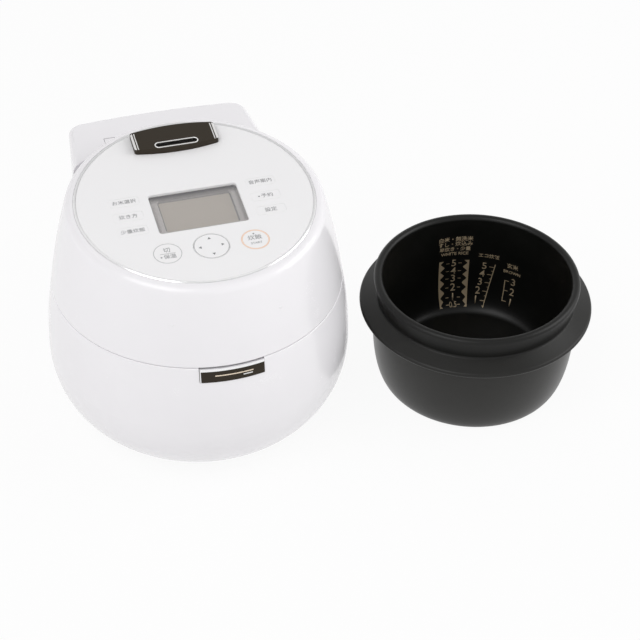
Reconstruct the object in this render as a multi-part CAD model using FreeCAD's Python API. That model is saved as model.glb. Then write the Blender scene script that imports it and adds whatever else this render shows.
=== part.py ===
import FreeCAD, Part
import math
import os
from FreeCAD import Placement, Rotation, Vector

# Rice cooker with a hinged lid, and its wide-brimmed inner pot standing beside it, in millimetres.
# +Z is up, the front faces -Y, and the origin is on the floor under the middle of the round body.

# Clearances
SEAM_GAP = 0.5
SEAM_ROUND = 0.8
FIXED_GAP = 0.2
MOVING_GAP = 0.4
KEY_GAP = 0.2
RUNNING_GAP = 0.05
SEAT_GAP = 0.3

# Inner pot
POT_RADIUS = 98.6
POT_HEIGHT = 119.7
POT_WALL = 7.8
POT_FLOOR = 8.0
POT_BEND = 66.4
POT_TURN = 14.6
POT_INNER_BEND = 46.0
POT_INNER_TURN = 16.8
LIP_RADIUS = 4.2
NECK_STEP = 1.6
NECK_RISE = 8.5
FLANGE_WIDTH = 13.7
FLANGE_DROP = 26.9
FLANGE_EDGE = 4.4
FLANGE_SLOPE = 2.0

# Place where the pot stands beside the body
POT_APART = 10.85
POT_Y = -38.5

# Pot well and the heating parts under it
POT_SEAT = 26.5
POT_GAP = 1.5
WELL_WALL = 1.8
SENSOR_RADIUS = 18.0
SENSOR_STEM = 6.0
SENSOR_TRAVEL = 3.0
SENSOR_RISE = 1.5
HOLDER_THICKNESS = 3.5
HOLDER_EDGE = 10.0
INNER_COIL_START = 26.0
INNER_COIL_WIDTH = 24.0
OUTER_COIL_START = 57.0
OUTER_COIL_WIDTH = 27.0
FERRITE_COUNT = 6

# Round body
WALL = 2.5
DECK_WIDTH = 22.0
BODY_BULGE = 6.7
WAIST_HEIGHT = 77.8
BASE_RADIUS = 80.0
RIM_TO_SEAM = 1.8
FOOT_HEIGHT = 4.0
FOOT_RADIUS = 9.0
FOOT_OUT = 2.0
FOOT_COUNT = 4
FOOT_RING_INSET = 5.0
FOOT_RING_GAP = 30.0
TRAY_HEIGHT = 6.0
DECK_THICKNESS = 3.0
DECK_DROP = 0.4
DECK_LEDGE = 6.0

# Parts in the block behind the lid
BOARD_WIDTH = 84.0
BOARD_HEIGHT = 66.0
BOARD_MARGIN = 4.0
BOARD_LIFT = 10.0
BOSS_LENGTH = 7.0
BOSS_RADIUS = 3.0
SINK_DEPTH = 12.0
SINK_FINS = 7
FAN_SIZE = 60.0
FAN_THICKNESS = 15.0
FAN_MARGIN = 10.0
FAN_TO_BOARD = 10.0
FAN_Z = 96.0
FAN_BLADES = 7
FAN_BORE_GAP = 2.5
FAN_HUB = 12.0
FAN_SHAFT = 1.5
SLOT_HEIGHT = 3.0
SLOT_PITCH = 6.0
INLET_WIDTH = 36.0
INLET_HEIGHT = 22.0
INLET_DEPTH = 16.0
INLET_WALL = 3.0
INLET_X = 40.0
INLET_Z = 52.0
CONTACT_RADIUS = 2.0
CONTACT_SPACING = 18.0

# Block and hinge
BLOCK_GAP = 2.2
BLOCK_DEPTH = 61.5
BLOCK_BOTTOM = 24.0
BLOCK_CORNER = 16.0
BLOCK_BOW = 4.5
BLOCK_EDGE = 5.0
BLOCK_FLARE = 0.11
NOSE_RADIUS = 14.0
HINGE_RISE = 55.0
HINGE_COVER = 11.0
PIN_RADIUS = 2.5
ARM_X = 52.0
ARM_WIDTH = 10.0
SPRING_LENGTH = 20.0
SPRING_WIRE = 1.6

# Lid
LID_RISE = 85.4
LID_TILT = 4.87
LID_BOW = 1.6
LID_TAPER = 18.4
LID_TO_BLOCK = 2.5
SHOULDER_ROUND = 8.0
SHOULDER_WIDTH = 7.2
RING_WIDTH = 2.4
RING_STEP = 0.6
PANEL_THICKNESS = 2.6
PANEL_LEDGE = 6.0
LINER_THICKNESS = 2.5

# Front button and latch
BUTTON_WIDTH = 59.0
BUTTON_HEIGHT = 13.9
BUTTON_BAR = 2.4
BUTTON_DEPTH = 7.0
BUTTON_PROUD = 0.6
BUTTON_TRAVEL = 3.5
PLUNGER_HEIGHT = 5.0
HOOK_WIDTH = 12.0
HOOK_THICKNESS = 5.0
HOOK_INSET = 14.8
HOOK_LENGTH = 40.0
HOOK_NOSE = 2.0
LATCH_PIN_RADIUS = 1.5

# Controls on the sloping panel: x to the right, w to the rear, from the middle of the ring
SCREEN_WIDTH = 82.4
SCREEN_DEPTH = 52.9
SCREEN_W = -12.6
SCREEN_CORNER = 3.0
SCREEN_BEZEL = 7.0
BEZEL_FRONT = 3.6
SCREEN_SINK = 1.2
BEZEL_THICKNESS = 1.6
MODULE_THICKNESS = 3.0
BOARD_THICKNESS = 1.6
KEY_TRAVEL = 0.4
KEY_CAP = 2.2
KEY_FLANGE = 1.2
ROUND_KEY_RADIUS = 13.0
ROUND_KEY_X = 39.9
ROUND_KEY_W = -65.0
PAD_RADIUS = 16.0
PAD_W = -64.4
SIDE_KEY_WIDTH = 27.0
SIDE_KEY_DEPTH = 11.0
SIDE_KEY_CORNER = 2.5
SIDE_KEY_X = 63.6
SIDE_KEY_ROWS = {"upper": 10.0, "middle": -10.0, "lower": -29.6}

# Steam cap at the back of the panel
CAP_WIDTH = 80.0
CAP_SIDE = 25.0
CAP_BOW = 4.5
CAP_MARGIN = 22.4
CAP_RISE = 5.5
CAP_CORNER = 2.5
CAP_EDGE = 1.2
CAP_WALL = 2.0
CAP_CASE_INSET = 3.0
CAP_CASE_DEPTH = 16.0
VENT_WIDTH = 39.0
VENT_DEPTH = 5.7
VENT_FORWARD = 9.2
DUCT_RADIUS = 7.5
DUCT_FORWARD = 5.0

# Inner lid
INNER_LID_THICKNESS = 1.5
GASKET_WIDTH = 11.0
GASKET_HEIGHT = 3.0
HEATER_WIDTH = 28.0
HEATER_THICKNESS = 1.8

# Screws
SCREW_RADIUS = 1.5
SCREW_HEAD = 3.0
SCREW_HEAD_HEIGHT = 2.0
SCREW_LENGTH = 10.0
POST_RADIUS = 4.0
POST_COUNT = 8

# Sizes that follow from the ones above
rim_inner = POT_RADIUS - POT_WALL
neck_radius = POT_RADIUS - NECK_STEP
flange_radius = POT_RADIUS + FLANGE_WIDTH
flange_height = POT_HEIGHT - FLANGE_DROP
pot_base_radius = POT_RADIUS - POT_TURN
pot_inner_base = rim_inner - POT_INNER_TURN
well_mouth = flange_radius + POT_GAP
seam_radius = well_mouth + DECK_WIDTH
seam_height = POT_SEAT + POT_HEIGHT + RIM_TO_SEAM
body_radius = seam_radius + BODY_BULGE
pot_x = body_radius + POT_APART + flange_radius
foot_circle = BASE_RADIUS + FOOT_OUT
foot_ring_radius = foot_circle - FOOT_RADIUS - FOOT_RING_INSET
holder_radius = foot_circle + HOLDER_EDGE
shoulder_radius = seam_radius - LID_TAPER
ring_radius = shoulder_radius - SHOULDER_WIDTH
display_w = SCREEN_W - (SCREEN_BEZEL - BEZEL_FRONT) / 2
panel_radius = ring_radius - RING_WIDTH - FIXED_GAP
cap_w = panel_radius - CAP_MARGIN
block_front = well_mouth + BLOCK_GAP
block_rear = block_front + BLOCK_DEPTH
block_half_width = WALL + (FAN_MARGIN + FAN_SIZE + FAN_TO_BOARD + BOARD_WIDTH + BOARD_MARGIN) / 2
lid_back = block_front - LID_TO_BLOCK
hinge_y = block_front + NOSE_RADIUS
cheek_front = block_front - NOSE_RADIUS - BLOCK_CORNER
cheek_in = ARM_X + ARM_WIDTH / 2 + MOVING_GAP + 2 * WALL
hinge_z = seam_height + HINGE_RISE
block_top = hinge_z + HINGE_COVER
fan_x = WALL + FAN_MARGIN + FAN_SIZE / 2 - block_half_width
board_x = block_half_width - WALL - BOARD_MARGIN - BOARD_WIDTH / 2
board_z = INLET_Z + INLET_HEIGHT / 2 + BOARD_LIFT + BOARD_HEIGHT / 2
hook_y = HOOK_INSET - seam_radius
hook_pivot_z = seam_height - HOOK_LENGTH
body_top = seam_height - SEAM_GAP / 2
lid_bottom = seam_height + SEAM_GAP / 2
tray_floor = FOOT_HEIGHT + WALL
tray_top = FOOT_HEIGHT + TRAY_HEIGHT
lid_rise = LID_RISE - SEAM_GAP / 2
pot_rim = POT_SEAT + POT_HEIGHT
well_ledge = POT_SEAT + flange_height - FLANGE_EDGE - FLANGE_SLOPE - SEAT_GAP
well_bottom = POT_SEAT - POT_GAP - WELL_WALL
holder_bottom = tray_floor + HOLDER_THICKNESS
holder_top = holder_bottom + HOLDER_THICKNESS
deck_top = body_top - DECK_DROP
deck_bottom = deck_top - DECK_THICKNESS
deck_radius = seam_radius - WALL - FIXED_GAP
panel_bottom = -PANEL_THICKNESS
bezel_bottom = panel_bottom - BEZEL_THICKNESS
module_bottom = bezel_bottom - MODULE_THICKNESS
gasket_bottom = pot_rim + SEAT_GAP
inner_lid_bottom = gasket_bottom + GASKET_HEIGHT
inner_lid_top = inner_lid_bottom + INNER_LID_THICKNESS
inner_lid_radius = rim_inner + GASKET_WIDTH
liner_bottom = inner_lid_top + SEAT_GAP
liner_top = liner_bottom + LINER_THICKNESS
button_bottom = body_top - DECK_DROP - BUTTON_HEIGHT
bar_bottom = body_top - DECK_DROP - BUTTON_BAR
hook_front = hook_y - HOOK_THICKNESS
hook_top = liner_top + 3 * HOOK_NOSE
catch_height = liner_top + HOOK_NOSE
hook_middle = hook_y - HOOK_THICKNESS / 2
plunger_bottom = (button_bottom + bar_bottom - PLUNGER_HEIGHT) / 2
hook_slope = BUTTON_TRAVEL / (plunger_bottom - hook_pivot_z)
hook_swing = (hook_top - hook_pivot_z) * hook_slope
hook_back = hook_y + (deck_top - hook_pivot_z) * hook_slope
latch_lug = HOOK_WIDTH / 2 + MOVING_GAP + WALL / 2
latch_half = latch_lug + WALL / 2
pin_half = ARM_X + ARM_WIDTH / 2 + MOVING_GAP + WALL
coil_top = well_bottom - 2 * SEAT_GAP
inner_coil_end = INNER_COIL_START + INNER_COIL_WIDTH
ferrite_in = SENSOR_STEM + WALL + 3 * WALL
ferrite_out = foot_circle - 2 * POST_RADIUS
sensor_top = POT_SEAT + SENSOR_RISE
sensor_bottom = sensor_top - WALL
guide_top = holder_top + WELL_WALL
rocker_top = module_bottom + 2 * KEY_FLANGE
rocker_bottom = rocker_top - KEY_FLANGE
vent_w = cap_w - VENT_FORWARD
pocket_floor = -CAP_CASE_DEPTH - SEAT_GAP
cup_inner = MOVING_GAP - CAP_CASE_INSET
cup_outer = cup_inner + CAP_WALL
LARGE = 4 * body_radius
UP = Vector(0, 0, 1)
ACROSS = Vector(1, 0, 0)
BACKWARD = Vector(0, 1, 0)
PANEL = Placement(Vector(0, 0, seam_height + LID_RISE), Rotation(ACROSS, LID_TILT))
duct_head = PANEL.multVec(Vector(0, cap_w - DUCT_FORWARD, pocket_floor))
parts = {}


# Basic shapes
def box(x0, x1, y0, y1, z0, z1):
    return Part.makeBox(x1 - x0, y1 - y0, z1 - z0, Vector(x0, y0, z0))


def disc(radius, z0, z1, x=0.0, y=0.0):
    return Part.makeCylinder(radius, z1 - z0, Vector(x, y, z0), UP)


def ring(inner, outer, z0, z1, x=0.0, y=0.0):
    return disc(outer, z0, z1, x, y).cut(disc(inner, z0 - 1, z1 + 1, x, y))


def rod(radius, x0, x1, y, z):
    return Part.makeCylinder(radius, x1 - x0, Vector(x0, y, z), ACROSS)


def bar(radius, y0, y1, x, z):
    return Part.makeCylinder(radius, y1 - y0, Vector(x, y0, z), BACKWARD)


def fused(shapes):
    return shapes[0].fuse(shapes[1:]).removeSplitter()


def line(a, b):
    return Part.LineSegment(a, b).toShape()


def arc(a, middle, b):
    return Part.Arc(a, middle, b).toShape()


def quarter(a, corner, b):
    curve = Part.BezierCurve()
    curve.setPoles([a, corner, b])
    curve.setWeight(2, math.sqrt(0.5))
    return curve.toShape()


def section(radius, height):
    return Vector(radius, 0, height)


def turned(edges):
    return Part.Face(Part.Wire(edges)).revolve(Vector(0, 0, 0), UP, 360)


def turned_polygon(points):
    corners = [section(r, z) for r, z in points]
    return Part.Face(Part.makePolygon(corners + corners[:1])).revolve(Vector(0, 0, 0), UP, 360)


def upright(shape):
    return [e for e in shape.Edges if abs(e.tangentAt(e.FirstParameter).z) > 0.9]


def rounded_plate(width, depth, corner, z0, z1, x=0.0, y=0.0):
    plate = box(x - width / 2, x + width / 2, y - depth / 2, y + depth / 2, z0, z1)
    return plate.makeFillet(corner, upright(plate))


def on_panel(shape):
    return shape.transformed(PANEL.toMatrix())


def around(count, start, radius):
    angles = [math.radians(start + 360.0 * i / count) for i in range(count)]
    return [(radius * math.cos(a), radius * math.sin(a)) for a in angles]


def screw(x, y, seat, tip):
    head = disc(SCREW_HEAD, seat - SCREW_HEAD_HEIGHT, seat, x, y)
    return fused([head, disc(SCREW_RADIUS, seat, tip, x, y)])


# Round body: an ellipse below the waist and a shallow arc above it
def body_solid(offset):
    widest = body_radius + offset
    low = -offset
    middle_height = (WAIST_HEIGHT + seam_height) / 2
    middle = widest - (body_radius - seam_radius) / 4
    foot = section(0, low)
    heel = section(BASE_RADIUS, low)
    waist = section(widest, WAIST_HEIGHT)
    seam = section(seam_radius + offset, seam_height)
    top = section(0, seam_height)
    belly = quarter(heel, section(widest, low), waist)
    upper = arc(waist, section(middle, middle_height), seam)
    return turned([line(foot, heel), belly, upper, line(seam, top), line(top, foot)])


def level(z0, z1):
    return box(-LARGE, LARGE, -LARGE, LARGE, z0, z1)


body_outer = body_solid(0)
body_inner = body_solid(-WALL)
button_half = BUTTON_WIDTH / 2
button_inside = math.sqrt((seam_radius - BUTTON_DEPTH) ** 2 - button_half ** 2)
button_room = box(-button_half - MOVING_GAP, button_half + MOVING_GAP, -LARGE,
                  -button_inside + BUTTON_TRAVEL + 2 * MOVING_GAP, button_bottom - MOVING_GAP, seam_height)
feet = around(FOOT_COUNT, 45, foot_circle)
base_posts = around(FOOT_COUNT, 0, foot_circle)


def make_base_plate():
    tray = body_outer.common(level(FOOT_HEIGHT, tray_top))
    tray = tray.cut(body_inner.common(level(tray_floor, tray_top)))
    posts = [disc(POST_RADIUS, tray_floor, holder_bottom, x, y) for x, y in base_posts]
    foot_ring = ring(foot_ring_radius - POST_RADIUS, foot_ring_radius, 0, FOOT_HEIGHT)
    air_gap = box(-FOOT_RING_GAP / 2, FOOT_RING_GAP / 2, 0, foot_ring_radius + 1, -1, FOOT_HEIGHT)
    tray = fused([tray, foot_ring.cut(air_gap)] + posts)
    for x, y in feet:
        tray = tray.cut(disc(FOOT_RADIUS / 2, 0, tray_top, x, y))
    for x, y in base_posts:
        tray = tray.cut(disc(SCREW_RADIUS + FIXED_GAP, 0, tray_top + HOLDER_THICKNESS, x, y))
        tray = tray.cut(disc(SCREW_HEAD + FIXED_GAP, 0, FOOT_HEIGHT + SCREW_HEAD_HEIGHT, x, y))
    slot_length = foot_circle / 2
    for i in range(-4, 5):
        y = 2 * i * SLOT_HEIGHT
        tray = tray.cut(box(-slot_length / 2, slot_length / 2, y, y + SLOT_HEIGHT, 0, tray_floor + 1))
    return tray


def make_feet():
    pads = []
    for x, y in feet:
        pad = disc(FOOT_RADIUS, 0, FOOT_HEIGHT, x, y)
        plug = disc(FOOT_RADIUS / 2 - FIXED_GAP, FOOT_HEIGHT, tray_floor, x, y)
        pads.append(fused([pad, plug]))
    return Part.makeCompound(pads)


def make_body_shell():
    shell = body_outer.common(level(tray_top, body_top))
    shell = shell.makeFillet(SEAM_ROUND, edges_at(shell, body_top, -LARGE))
    shell = shell.cut(body_inner)
    ledge = body_outer.common(level(deck_bottom - WALL, deck_bottom))
    ledge = ledge.cut(disc(deck_radius - DECK_LEDGE, 0, seam_height))
    return fused([shell, ledge]).cut(button_room).cut(hook_room)


# Block behind the lid: its plan widens to the front, and has a bowed rear and round corners
def block_solid(inset, front, z0, z1):
    rear = block_rear - inset
    rear_side = rear - BLOCK_BOW
    side_inset = inset * math.sqrt(1 + BLOCK_FLARE ** 2)
    half = block_half_width - side_inset + BLOCK_FLARE * inset
    wide = half + BLOCK_FLARE * (rear_side - front)

    def at(x, y):
        return Vector(x, y, z0)
    edges = [
        line(at(-wide, front), at(wide, front)),
        line(at(wide, front), at(half, rear_side)),
        arc(at(half, rear_side), at(0, rear), at(-half, rear_side)),
        line(at(-half, rear_side), at(-wide, front)),
    ]
    prism = Part.Face(Part.Wire(edges)).extrude(UP * (z1 - z0))
    corners = [e for e in upright(prism) if e.BoundBox.YMin > front + 1]
    return prism.makeFillet(BLOCK_CORNER - inset, corners)


def edges_at(shape, height, front):
    chosen = []
    for edge in shape.Edges:
        box_of = edge.BoundBox
        flat = abs(box_of.ZMin - height) < 0.01 and abs(box_of.ZMax - height) < 0.01
        if flat and box_of.YMax > front + 0.01:
            chosen.append(edge)
    return chosen


def nose_cut(front, radius):
    corner = box(-LARGE, LARGE, front - 1, hinge_y, hinge_z, block_top + LARGE)
    return corner.cut(rod(radius, -LARGE, LARGE, hinge_y, hinge_z))


def make_rear_housing():
    outer = block_solid(0, 0, BLOCK_BOTTOM, body_top)
    outer = outer.makeFillet(BLOCK_EDGE, edges_at(outer, BLOCK_BOTTOM, 0))
    outer = outer.cut(body_solid(FIXED_GAP))
    cavity = block_solid(WALL, 0, BLOCK_BOTTOM + WALL, body_top + 1)
    housing = outer.cut(cavity)
    inside = block_solid(WALL / 2, 0, BLOCK_BOTTOM, body_top)
    for x, z in board_corners + fan_corners:
        start = board_back if (x, z) in board_corners else fan_back
        housing = housing.fuse(bar(BOSS_RADIUS, start, block_rear, x, z).common(inside))
    for i in range(-4, 5):
        z = FAN_Z + i * SLOT_PITCH
        reach = math.sqrt(max(0.0, (FAN_SIZE / 2) ** 2 - (i * SLOT_PITCH) ** 2)) * 0.85
        housing = housing.cut(box(fan_x - reach, fan_x + reach, fan_back + 1, block_rear + 1,
                                  z - SLOT_HEIGHT / 2, z + SLOT_HEIGHT / 2))
    housing = housing.cut(inlet_block(FIXED_GAP))
    return housing.removeSplitter()


def arm_pocket(x, extra, low):
    half = ARM_WIDTH / 2 + MOVING_GAP + extra
    swing = HINGE_COVER * math.sqrt(2) + MOVING_GAP + extra
    front = box(x - half, x + half, block_front - 1, hinge_y, low - extra, block_top + 1)
    return front.fuse(rod(swing, x - half, x + half, hinge_y, hinge_z))


def make_hinge_cover():
    outer = block_solid(0, cheek_front, body_top, block_top)
    outer = outer.makeFillet(BLOCK_EDGE, edges_at(outer, block_top, cheek_front))
    between = box(-cheek_in, cheek_in, 0, LARGE, 0, LARGE)
    lid_room = disc(seam_radius + LID_TO_BLOCK, 0, LARGE).common(box(-LARGE, LARGE, 0, block_front, 0, LARGE))
    cheeks = outer.cut(between).cut(lid_room)
    outer = outer.common(between).common(box(-LARGE, LARGE, block_front, LARGE, 0, LARGE))
    outer = outer.cut(nose_cut(block_front, NOSE_RADIUS)).fuse(cheeks)
    cavity = block_solid(WALL, block_front + WALL, body_top - 1, block_top - WALL)
    cavity = cavity.cut(nose_cut(block_front + WALL, NOSE_RADIUS - WALL))
    low = hinge_z - HINGE_COVER - MOVING_GAP
    cover = outer.cut(cavity)
    for x in (-ARM_X, ARM_X):
        cover = cover.fuse(arm_pocket(x, WALL, low).common(outer))
    for x in (-ARM_X, ARM_X):
        cover = cover.cut(arm_pocket(x, 0, low))
    return cover.cut(rod(PIN_RADIUS + RUNNING_GAP / 2, -LARGE, LARGE, hinge_y, hinge_z).common(
        box(-pin_half, pin_half, 0, LARGE, 0, LARGE))).removeSplitter()


def make_hinge_pin():
    return rod(PIN_RADIUS, -pin_half, pin_half, hinge_y, hinge_z)


def make_hinge_springs():
    inner = PIN_RADIUS + SEAT_GAP
    inside = ARM_X - ARM_WIDTH / 2 - MOVING_GAP - WALL - FIXED_GAP
    springs = []
    for x0 in (inside - SPRING_LENGTH, -inside):
        coil = rod(inner + SPRING_WIRE, x0, x0 + SPRING_LENGTH, hinge_y, hinge_z)
        springs.append(coil.cut(rod(inner, x0 - 1, x0 + SPRING_LENGTH + 1, hinge_y, hinge_z)))
    return Part.makeCompound(springs)


# Electrical parts in the block
board_back = block_rear - BLOCK_BOW - WALL - BOSS_LENGTH
fan_back = board_back
half_board_x = BOARD_WIDTH / 2 - 2 * BOSS_RADIUS
half_board_z = BOARD_HEIGHT / 2 - 2 * BOSS_RADIUS
half_fan = FAN_SIZE / 2 - 1.5 * BOSS_RADIUS
board_corners = [(board_x + sx * half_board_x, board_z + sz * half_board_z)
                 for sx in (-1, 1) for sz in (-1, 1)]
fan_corners = [(fan_x + sx * half_fan, FAN_Z + sz * half_fan) for sx in (-1, 1) for sz in (-1, 1)]


def make_power_board():
    return box(board_x - BOARD_WIDTH / 2, board_x + BOARD_WIDTH / 2, board_back - BOARD_THICKNESS, board_back,
               board_z - BOARD_HEIGHT / 2, board_z + BOARD_HEIGHT / 2)


def make_heat_sink():
    face = board_back - BOARD_THICKNESS
    half = half_board_x
    z0 = board_z - half_board_z / 2
    z1 = board_z + half_board_z / 2
    base = box(board_x - half, board_x + half, face - 2 * WALL, face, z0, z1)
    pitch = (2 * half - WALL) / (SINK_FINS - 1)
    starts = [board_x - half + i * pitch for i in range(SINK_FINS)]
    fins = [box(x, x + WALL, face - SINK_DEPTH, face - WALL, z0, z1) for x in starts]
    return fused([base] + fins)


def make_fan_frame():
    front = fan_back - FAN_THICKNESS
    half = FAN_SIZE / 2
    frame = box(fan_x - half, fan_x + half, front, fan_back, FAN_Z - half, FAN_Z + half)
    frame = frame.cut(bar(half - FAN_BORE_GAP, front - 1, fan_back + 1, fan_x, FAN_Z))
    hub = bar(FAN_HUB, fan_back - WALL, fan_back, fan_x, FAN_Z)
    shaft = bar(FAN_SHAFT, front + WALL, fan_back - WALL, fan_x, FAN_Z)
    across = box(fan_x - half, fan_x + half, fan_back - WALL, fan_back, FAN_Z - WALL, FAN_Z + WALL)
    upright = box(fan_x - WALL, fan_x + WALL, fan_back - WALL, fan_back, FAN_Z - half, FAN_Z + half)
    return fused([frame, hub, shaft, across, upright])


def make_fan_rotor():
    front = fan_back - FAN_THICKNESS + WALL / 2
    rear = fan_back - WALL - SEAT_GAP
    tip = FAN_SIZE / 2 - FAN_BORE_GAP - MOVING_GAP
    blade = box(-WALL / 2, WALL / 2, front, rear, FAN_HUB - WALL, tip)
    blade.rotate(Vector(0, (front + rear) / 2, 0), UP, 35)
    keep = bar(tip, front, rear, 0, 0)
    hub = bar(FAN_HUB, front, rear, 0, 0)
    pieces = [hub]
    for i in range(FAN_BLADES):
        turned_blade = blade.copy()
        turned_blade.rotate(Vector(0, 0, 0), BACKWARD, 360.0 * i / FAN_BLADES)
        pieces.append(turned_blade.common(keep))
    rotor = fused(pieces)
    rotor.translate(Vector(fan_x, 0, FAN_Z))
    return rotor.cut(bar(FAN_SHAFT + RUNNING_GAP, front + WALL / 2 - SEAT_GAP, rear + 1, fan_x, FAN_Z))


def inlet_block(extra):
    half_x = INLET_WIDTH / 2 + extra
    half_z = INLET_HEIGHT / 2 + extra
    rear = block_rear - BLOCK_BOW - FIXED_GAP
    far = LARGE if extra else rear
    return box(INLET_X - half_x, INLET_X + half_x, rear - INLET_DEPTH, far,
               INLET_Z - half_z, INLET_Z + half_z)


def inlet_recess():
    half_x = INLET_WIDTH / 2 - INLET_WALL
    half_z = INLET_HEIGHT / 2 - INLET_WALL
    rear = block_rear - BLOCK_BOW - FIXED_GAP
    return box(INLET_X - half_x, INLET_X + half_x, rear - INLET_DEPTH + INLET_WALL, rear + 1,
               INLET_Z - half_z, INLET_Z + half_z)


def contact_bars(extra):
    rear = block_rear - BLOCK_BOW - FIXED_GAP
    places = [INLET_X - CONTACT_SPACING / 2, INLET_X + CONTACT_SPACING / 2]
    inner = rear - INLET_DEPTH
    outer = rear - 2 * INLET_WALL
    return [bar(CONTACT_RADIUS + extra, inner, outer, x, INLET_Z) for x in places]


def make_power_inlet():
    inlet = inlet_block(0).cut(inlet_recess())
    for contact in contact_bars(FIXED_GAP / 4):
        inlet = inlet.cut(contact)
    return inlet


def make_inlet_contacts():
    return Part.makeCompound(contact_bars(0))


# Well for the pot, with the deck round its mouth
def make_pot_well():
    widest = POT_RADIUS + POT_GAP
    low = POT_SEAT - POT_GAP
    bend = POT_SEAT + POT_BEND
    ledge_out = well_mouth + WALL

    def bowl(extra, top):
        heel = section(pot_base_radius, low - extra)
        side = section(widest + extra, bend)
        rim = section(widest + extra, top)
        belly = quarter(heel, section(widest + extra, low - extra), side)
        foot = section(0, low - extra)
        head = section(0, top)
        return turned([line(foot, heel), belly, line(side, rim), line(rim, head), line(head, foot)])
    well = bowl(WELL_WALL, well_ledge)
    well = well.fuse(disc(ledge_out, well_ledge - WELL_WALL, well_ledge))
    well = well.cut(bowl(0, well_ledge + 1))
    return well.cut(disc(SENSOR_RADIUS + 2 * MOVING_GAP, 0, POT_SEAT)).removeSplitter()


hook_room = box(-HOOK_WIDTH / 2 - MOVING_GAP, HOOK_WIDTH / 2 + MOVING_GAP,
                hook_front - HOOK_NOSE - MOVING_GAP, hook_back + MOVING_GAP,
                plunger_bottom - WALL, seam_height)


def make_top_frame():
    mouth = well_mouth
    collar = well_mouth + WALL
    frame = turned_polygon([(mouth, well_ledge), (mouth, deck_top), (deck_radius, deck_top),
                            (deck_radius, deck_bottom), (collar, deck_bottom), (collar, well_ledge)])
    lugs = [box(sx * latch_lug - WALL / 2, sx * latch_lug + WALL / 2,
                hook_front - WALL / 2, -collar - FIXED_GAP,
                hook_pivot_z - HOOK_THICKNESS, deck_bottom) for sx in (-1, 1)]
    frame = fused([frame] + lugs)
    frame = frame.cut(button_room).cut(hook_room)
    pin_bore = rod(LATCH_PIN_RADIUS + RUNNING_GAP / 2, -latch_half, latch_half, hook_middle, hook_pivot_z)
    return frame.cut(pin_bore)


def make_coil_holder():
    hub = SENSOR_STEM + WALL
    plate = ring(hub + RUNNING_GAP, holder_radius, holder_bottom, holder_top)
    rib = ring(inner_coil_end + MOVING_GAP, OUTER_COIL_START - MOVING_GAP, holder_top, well_bottom)
    holder = fused([plate, rib])
    for x, y in base_posts:
        holder = holder.cut(disc(SCREW_RADIUS + RUNNING_GAP, 0, holder_top + 1, x, y))
    return holder


def make_ferrite_bars():
    bars = []
    for i in range(FERRITE_COUNT):
        strip = box(ferrite_in, ferrite_out, -2 * WALL, 2 * WALL, holder_bottom - WALL, holder_bottom)
        strip.rotate(Vector(0, 0, 0), UP, 360.0 * (i + 0.5) / FERRITE_COUNT)
        bars.append(strip)
    return Part.makeCompound(bars)


def make_sensor_guide():
    flange = ring(SENSOR_STEM + RUNNING_GAP, SENSOR_STEM + 2 * WALL, holder_top, guide_top)
    sleeve = ring(SENSOR_STEM + RUNNING_GAP, SENSOR_STEM + WALL, tray_floor + SENSOR_TRAVEL, guide_top)
    return fused([flange, sleeve])


def make_pot_sensor():
    cap = disc(SENSOR_RADIUS, sensor_bottom, sensor_top)
    stem = disc(SENSOR_STEM, tray_floor + SENSOR_TRAVEL + SEAT_GAP, sensor_bottom)
    return fused([cap, stem])


def make_sensor_spring():
    return ring(SENSOR_STEM + SEAT_GAP, SENSOR_STEM + SEAT_GAP + SPRING_WIRE, guide_top, sensor_bottom)


# Front button, which pushes the latch hook back
def button_slab(proud, z0, z1):
    slab = body_solid(proud).cut(body_solid(-BUTTON_DEPTH))
    return slab.common(box(-button_half, button_half, -LARGE, 0, z0, z1))


def make_open_button():
    face = button_slab(BUTTON_PROUD, button_bottom, bar_bottom)
    tip = hook_front - SEAT_GAP
    plunger = box(-HOOK_WIDTH / 2, HOOK_WIDTH / 2, -seam_radius + 1, tip,
                  plunger_bottom, plunger_bottom + PLUNGER_HEIGHT)
    return fused([face, plunger])


def make_button_bar():
    return button_slab(2 * BUTTON_PROUD, bar_bottom, bar_bottom + BUTTON_BAR)


def make_latch_hook():
    half = HOOK_WIDTH / 2
    stem = box(-half, half, hook_front, hook_y, hook_pivot_z, hook_top)
    nose = box(-half, half, hook_front - HOOK_NOSE, hook_front, catch_height + SEAT_GAP, hook_top)
    boss = rod(HOOK_THICKNESS / 2, -half, half, hook_middle, hook_pivot_z)
    bore = rod(LATCH_PIN_RADIUS + RUNNING_GAP, -half - 1, half + 1, hook_middle, hook_pivot_z)
    return fused([stem, nose, boss]).cut(bore)


def make_latch_pin():
    return rod(LATCH_PIN_RADIUS, -latch_half, latch_half, hook_middle, hook_pivot_z)


# Lid: a bowed cone between the level seam and the tilted ring, leaning a little so that both ends are round
def lid_profile(share, inset):
    straight = seam_radius + (shoulder_radius - seam_radius) * share
    bowed = straight + 4 * LID_BOW * share * (1 - share)
    return section(bowed - inset, share * lid_rise)


def lid_blank(inset, ceiling):
    low = lid_profile(-0.2, inset)
    high = lid_profile(1.3, inset)
    foot = section(0, low.z)
    head = section(0, high.z)
    side = arc(low, lid_profile(0.5, inset), high)
    cone = turned([line(foot, low), side, line(high, head), line(head, foot)])
    slope = (seam_radius - shoulder_radius) / lid_rise
    tilt = math.tan(math.radians(LID_TILT))
    lean = shoulder_radius * slope * tilt / (lid_rise + (seam_radius - shoulder_radius) * slope)
    shift = seam_radius * slope * lean
    stand = Placement(Vector(0, shift, lid_bottom), Rotation(ACROSS, -math.degrees(math.atan(lean))))
    cone = cone.transformed(stand.toMatrix())
    cone = cone.common(level(lid_bottom, LARGE))
    return cone.common(on_panel(box(-LARGE, LARGE, -LARGE, LARGE, -LARGE, ceiling)))


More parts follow.
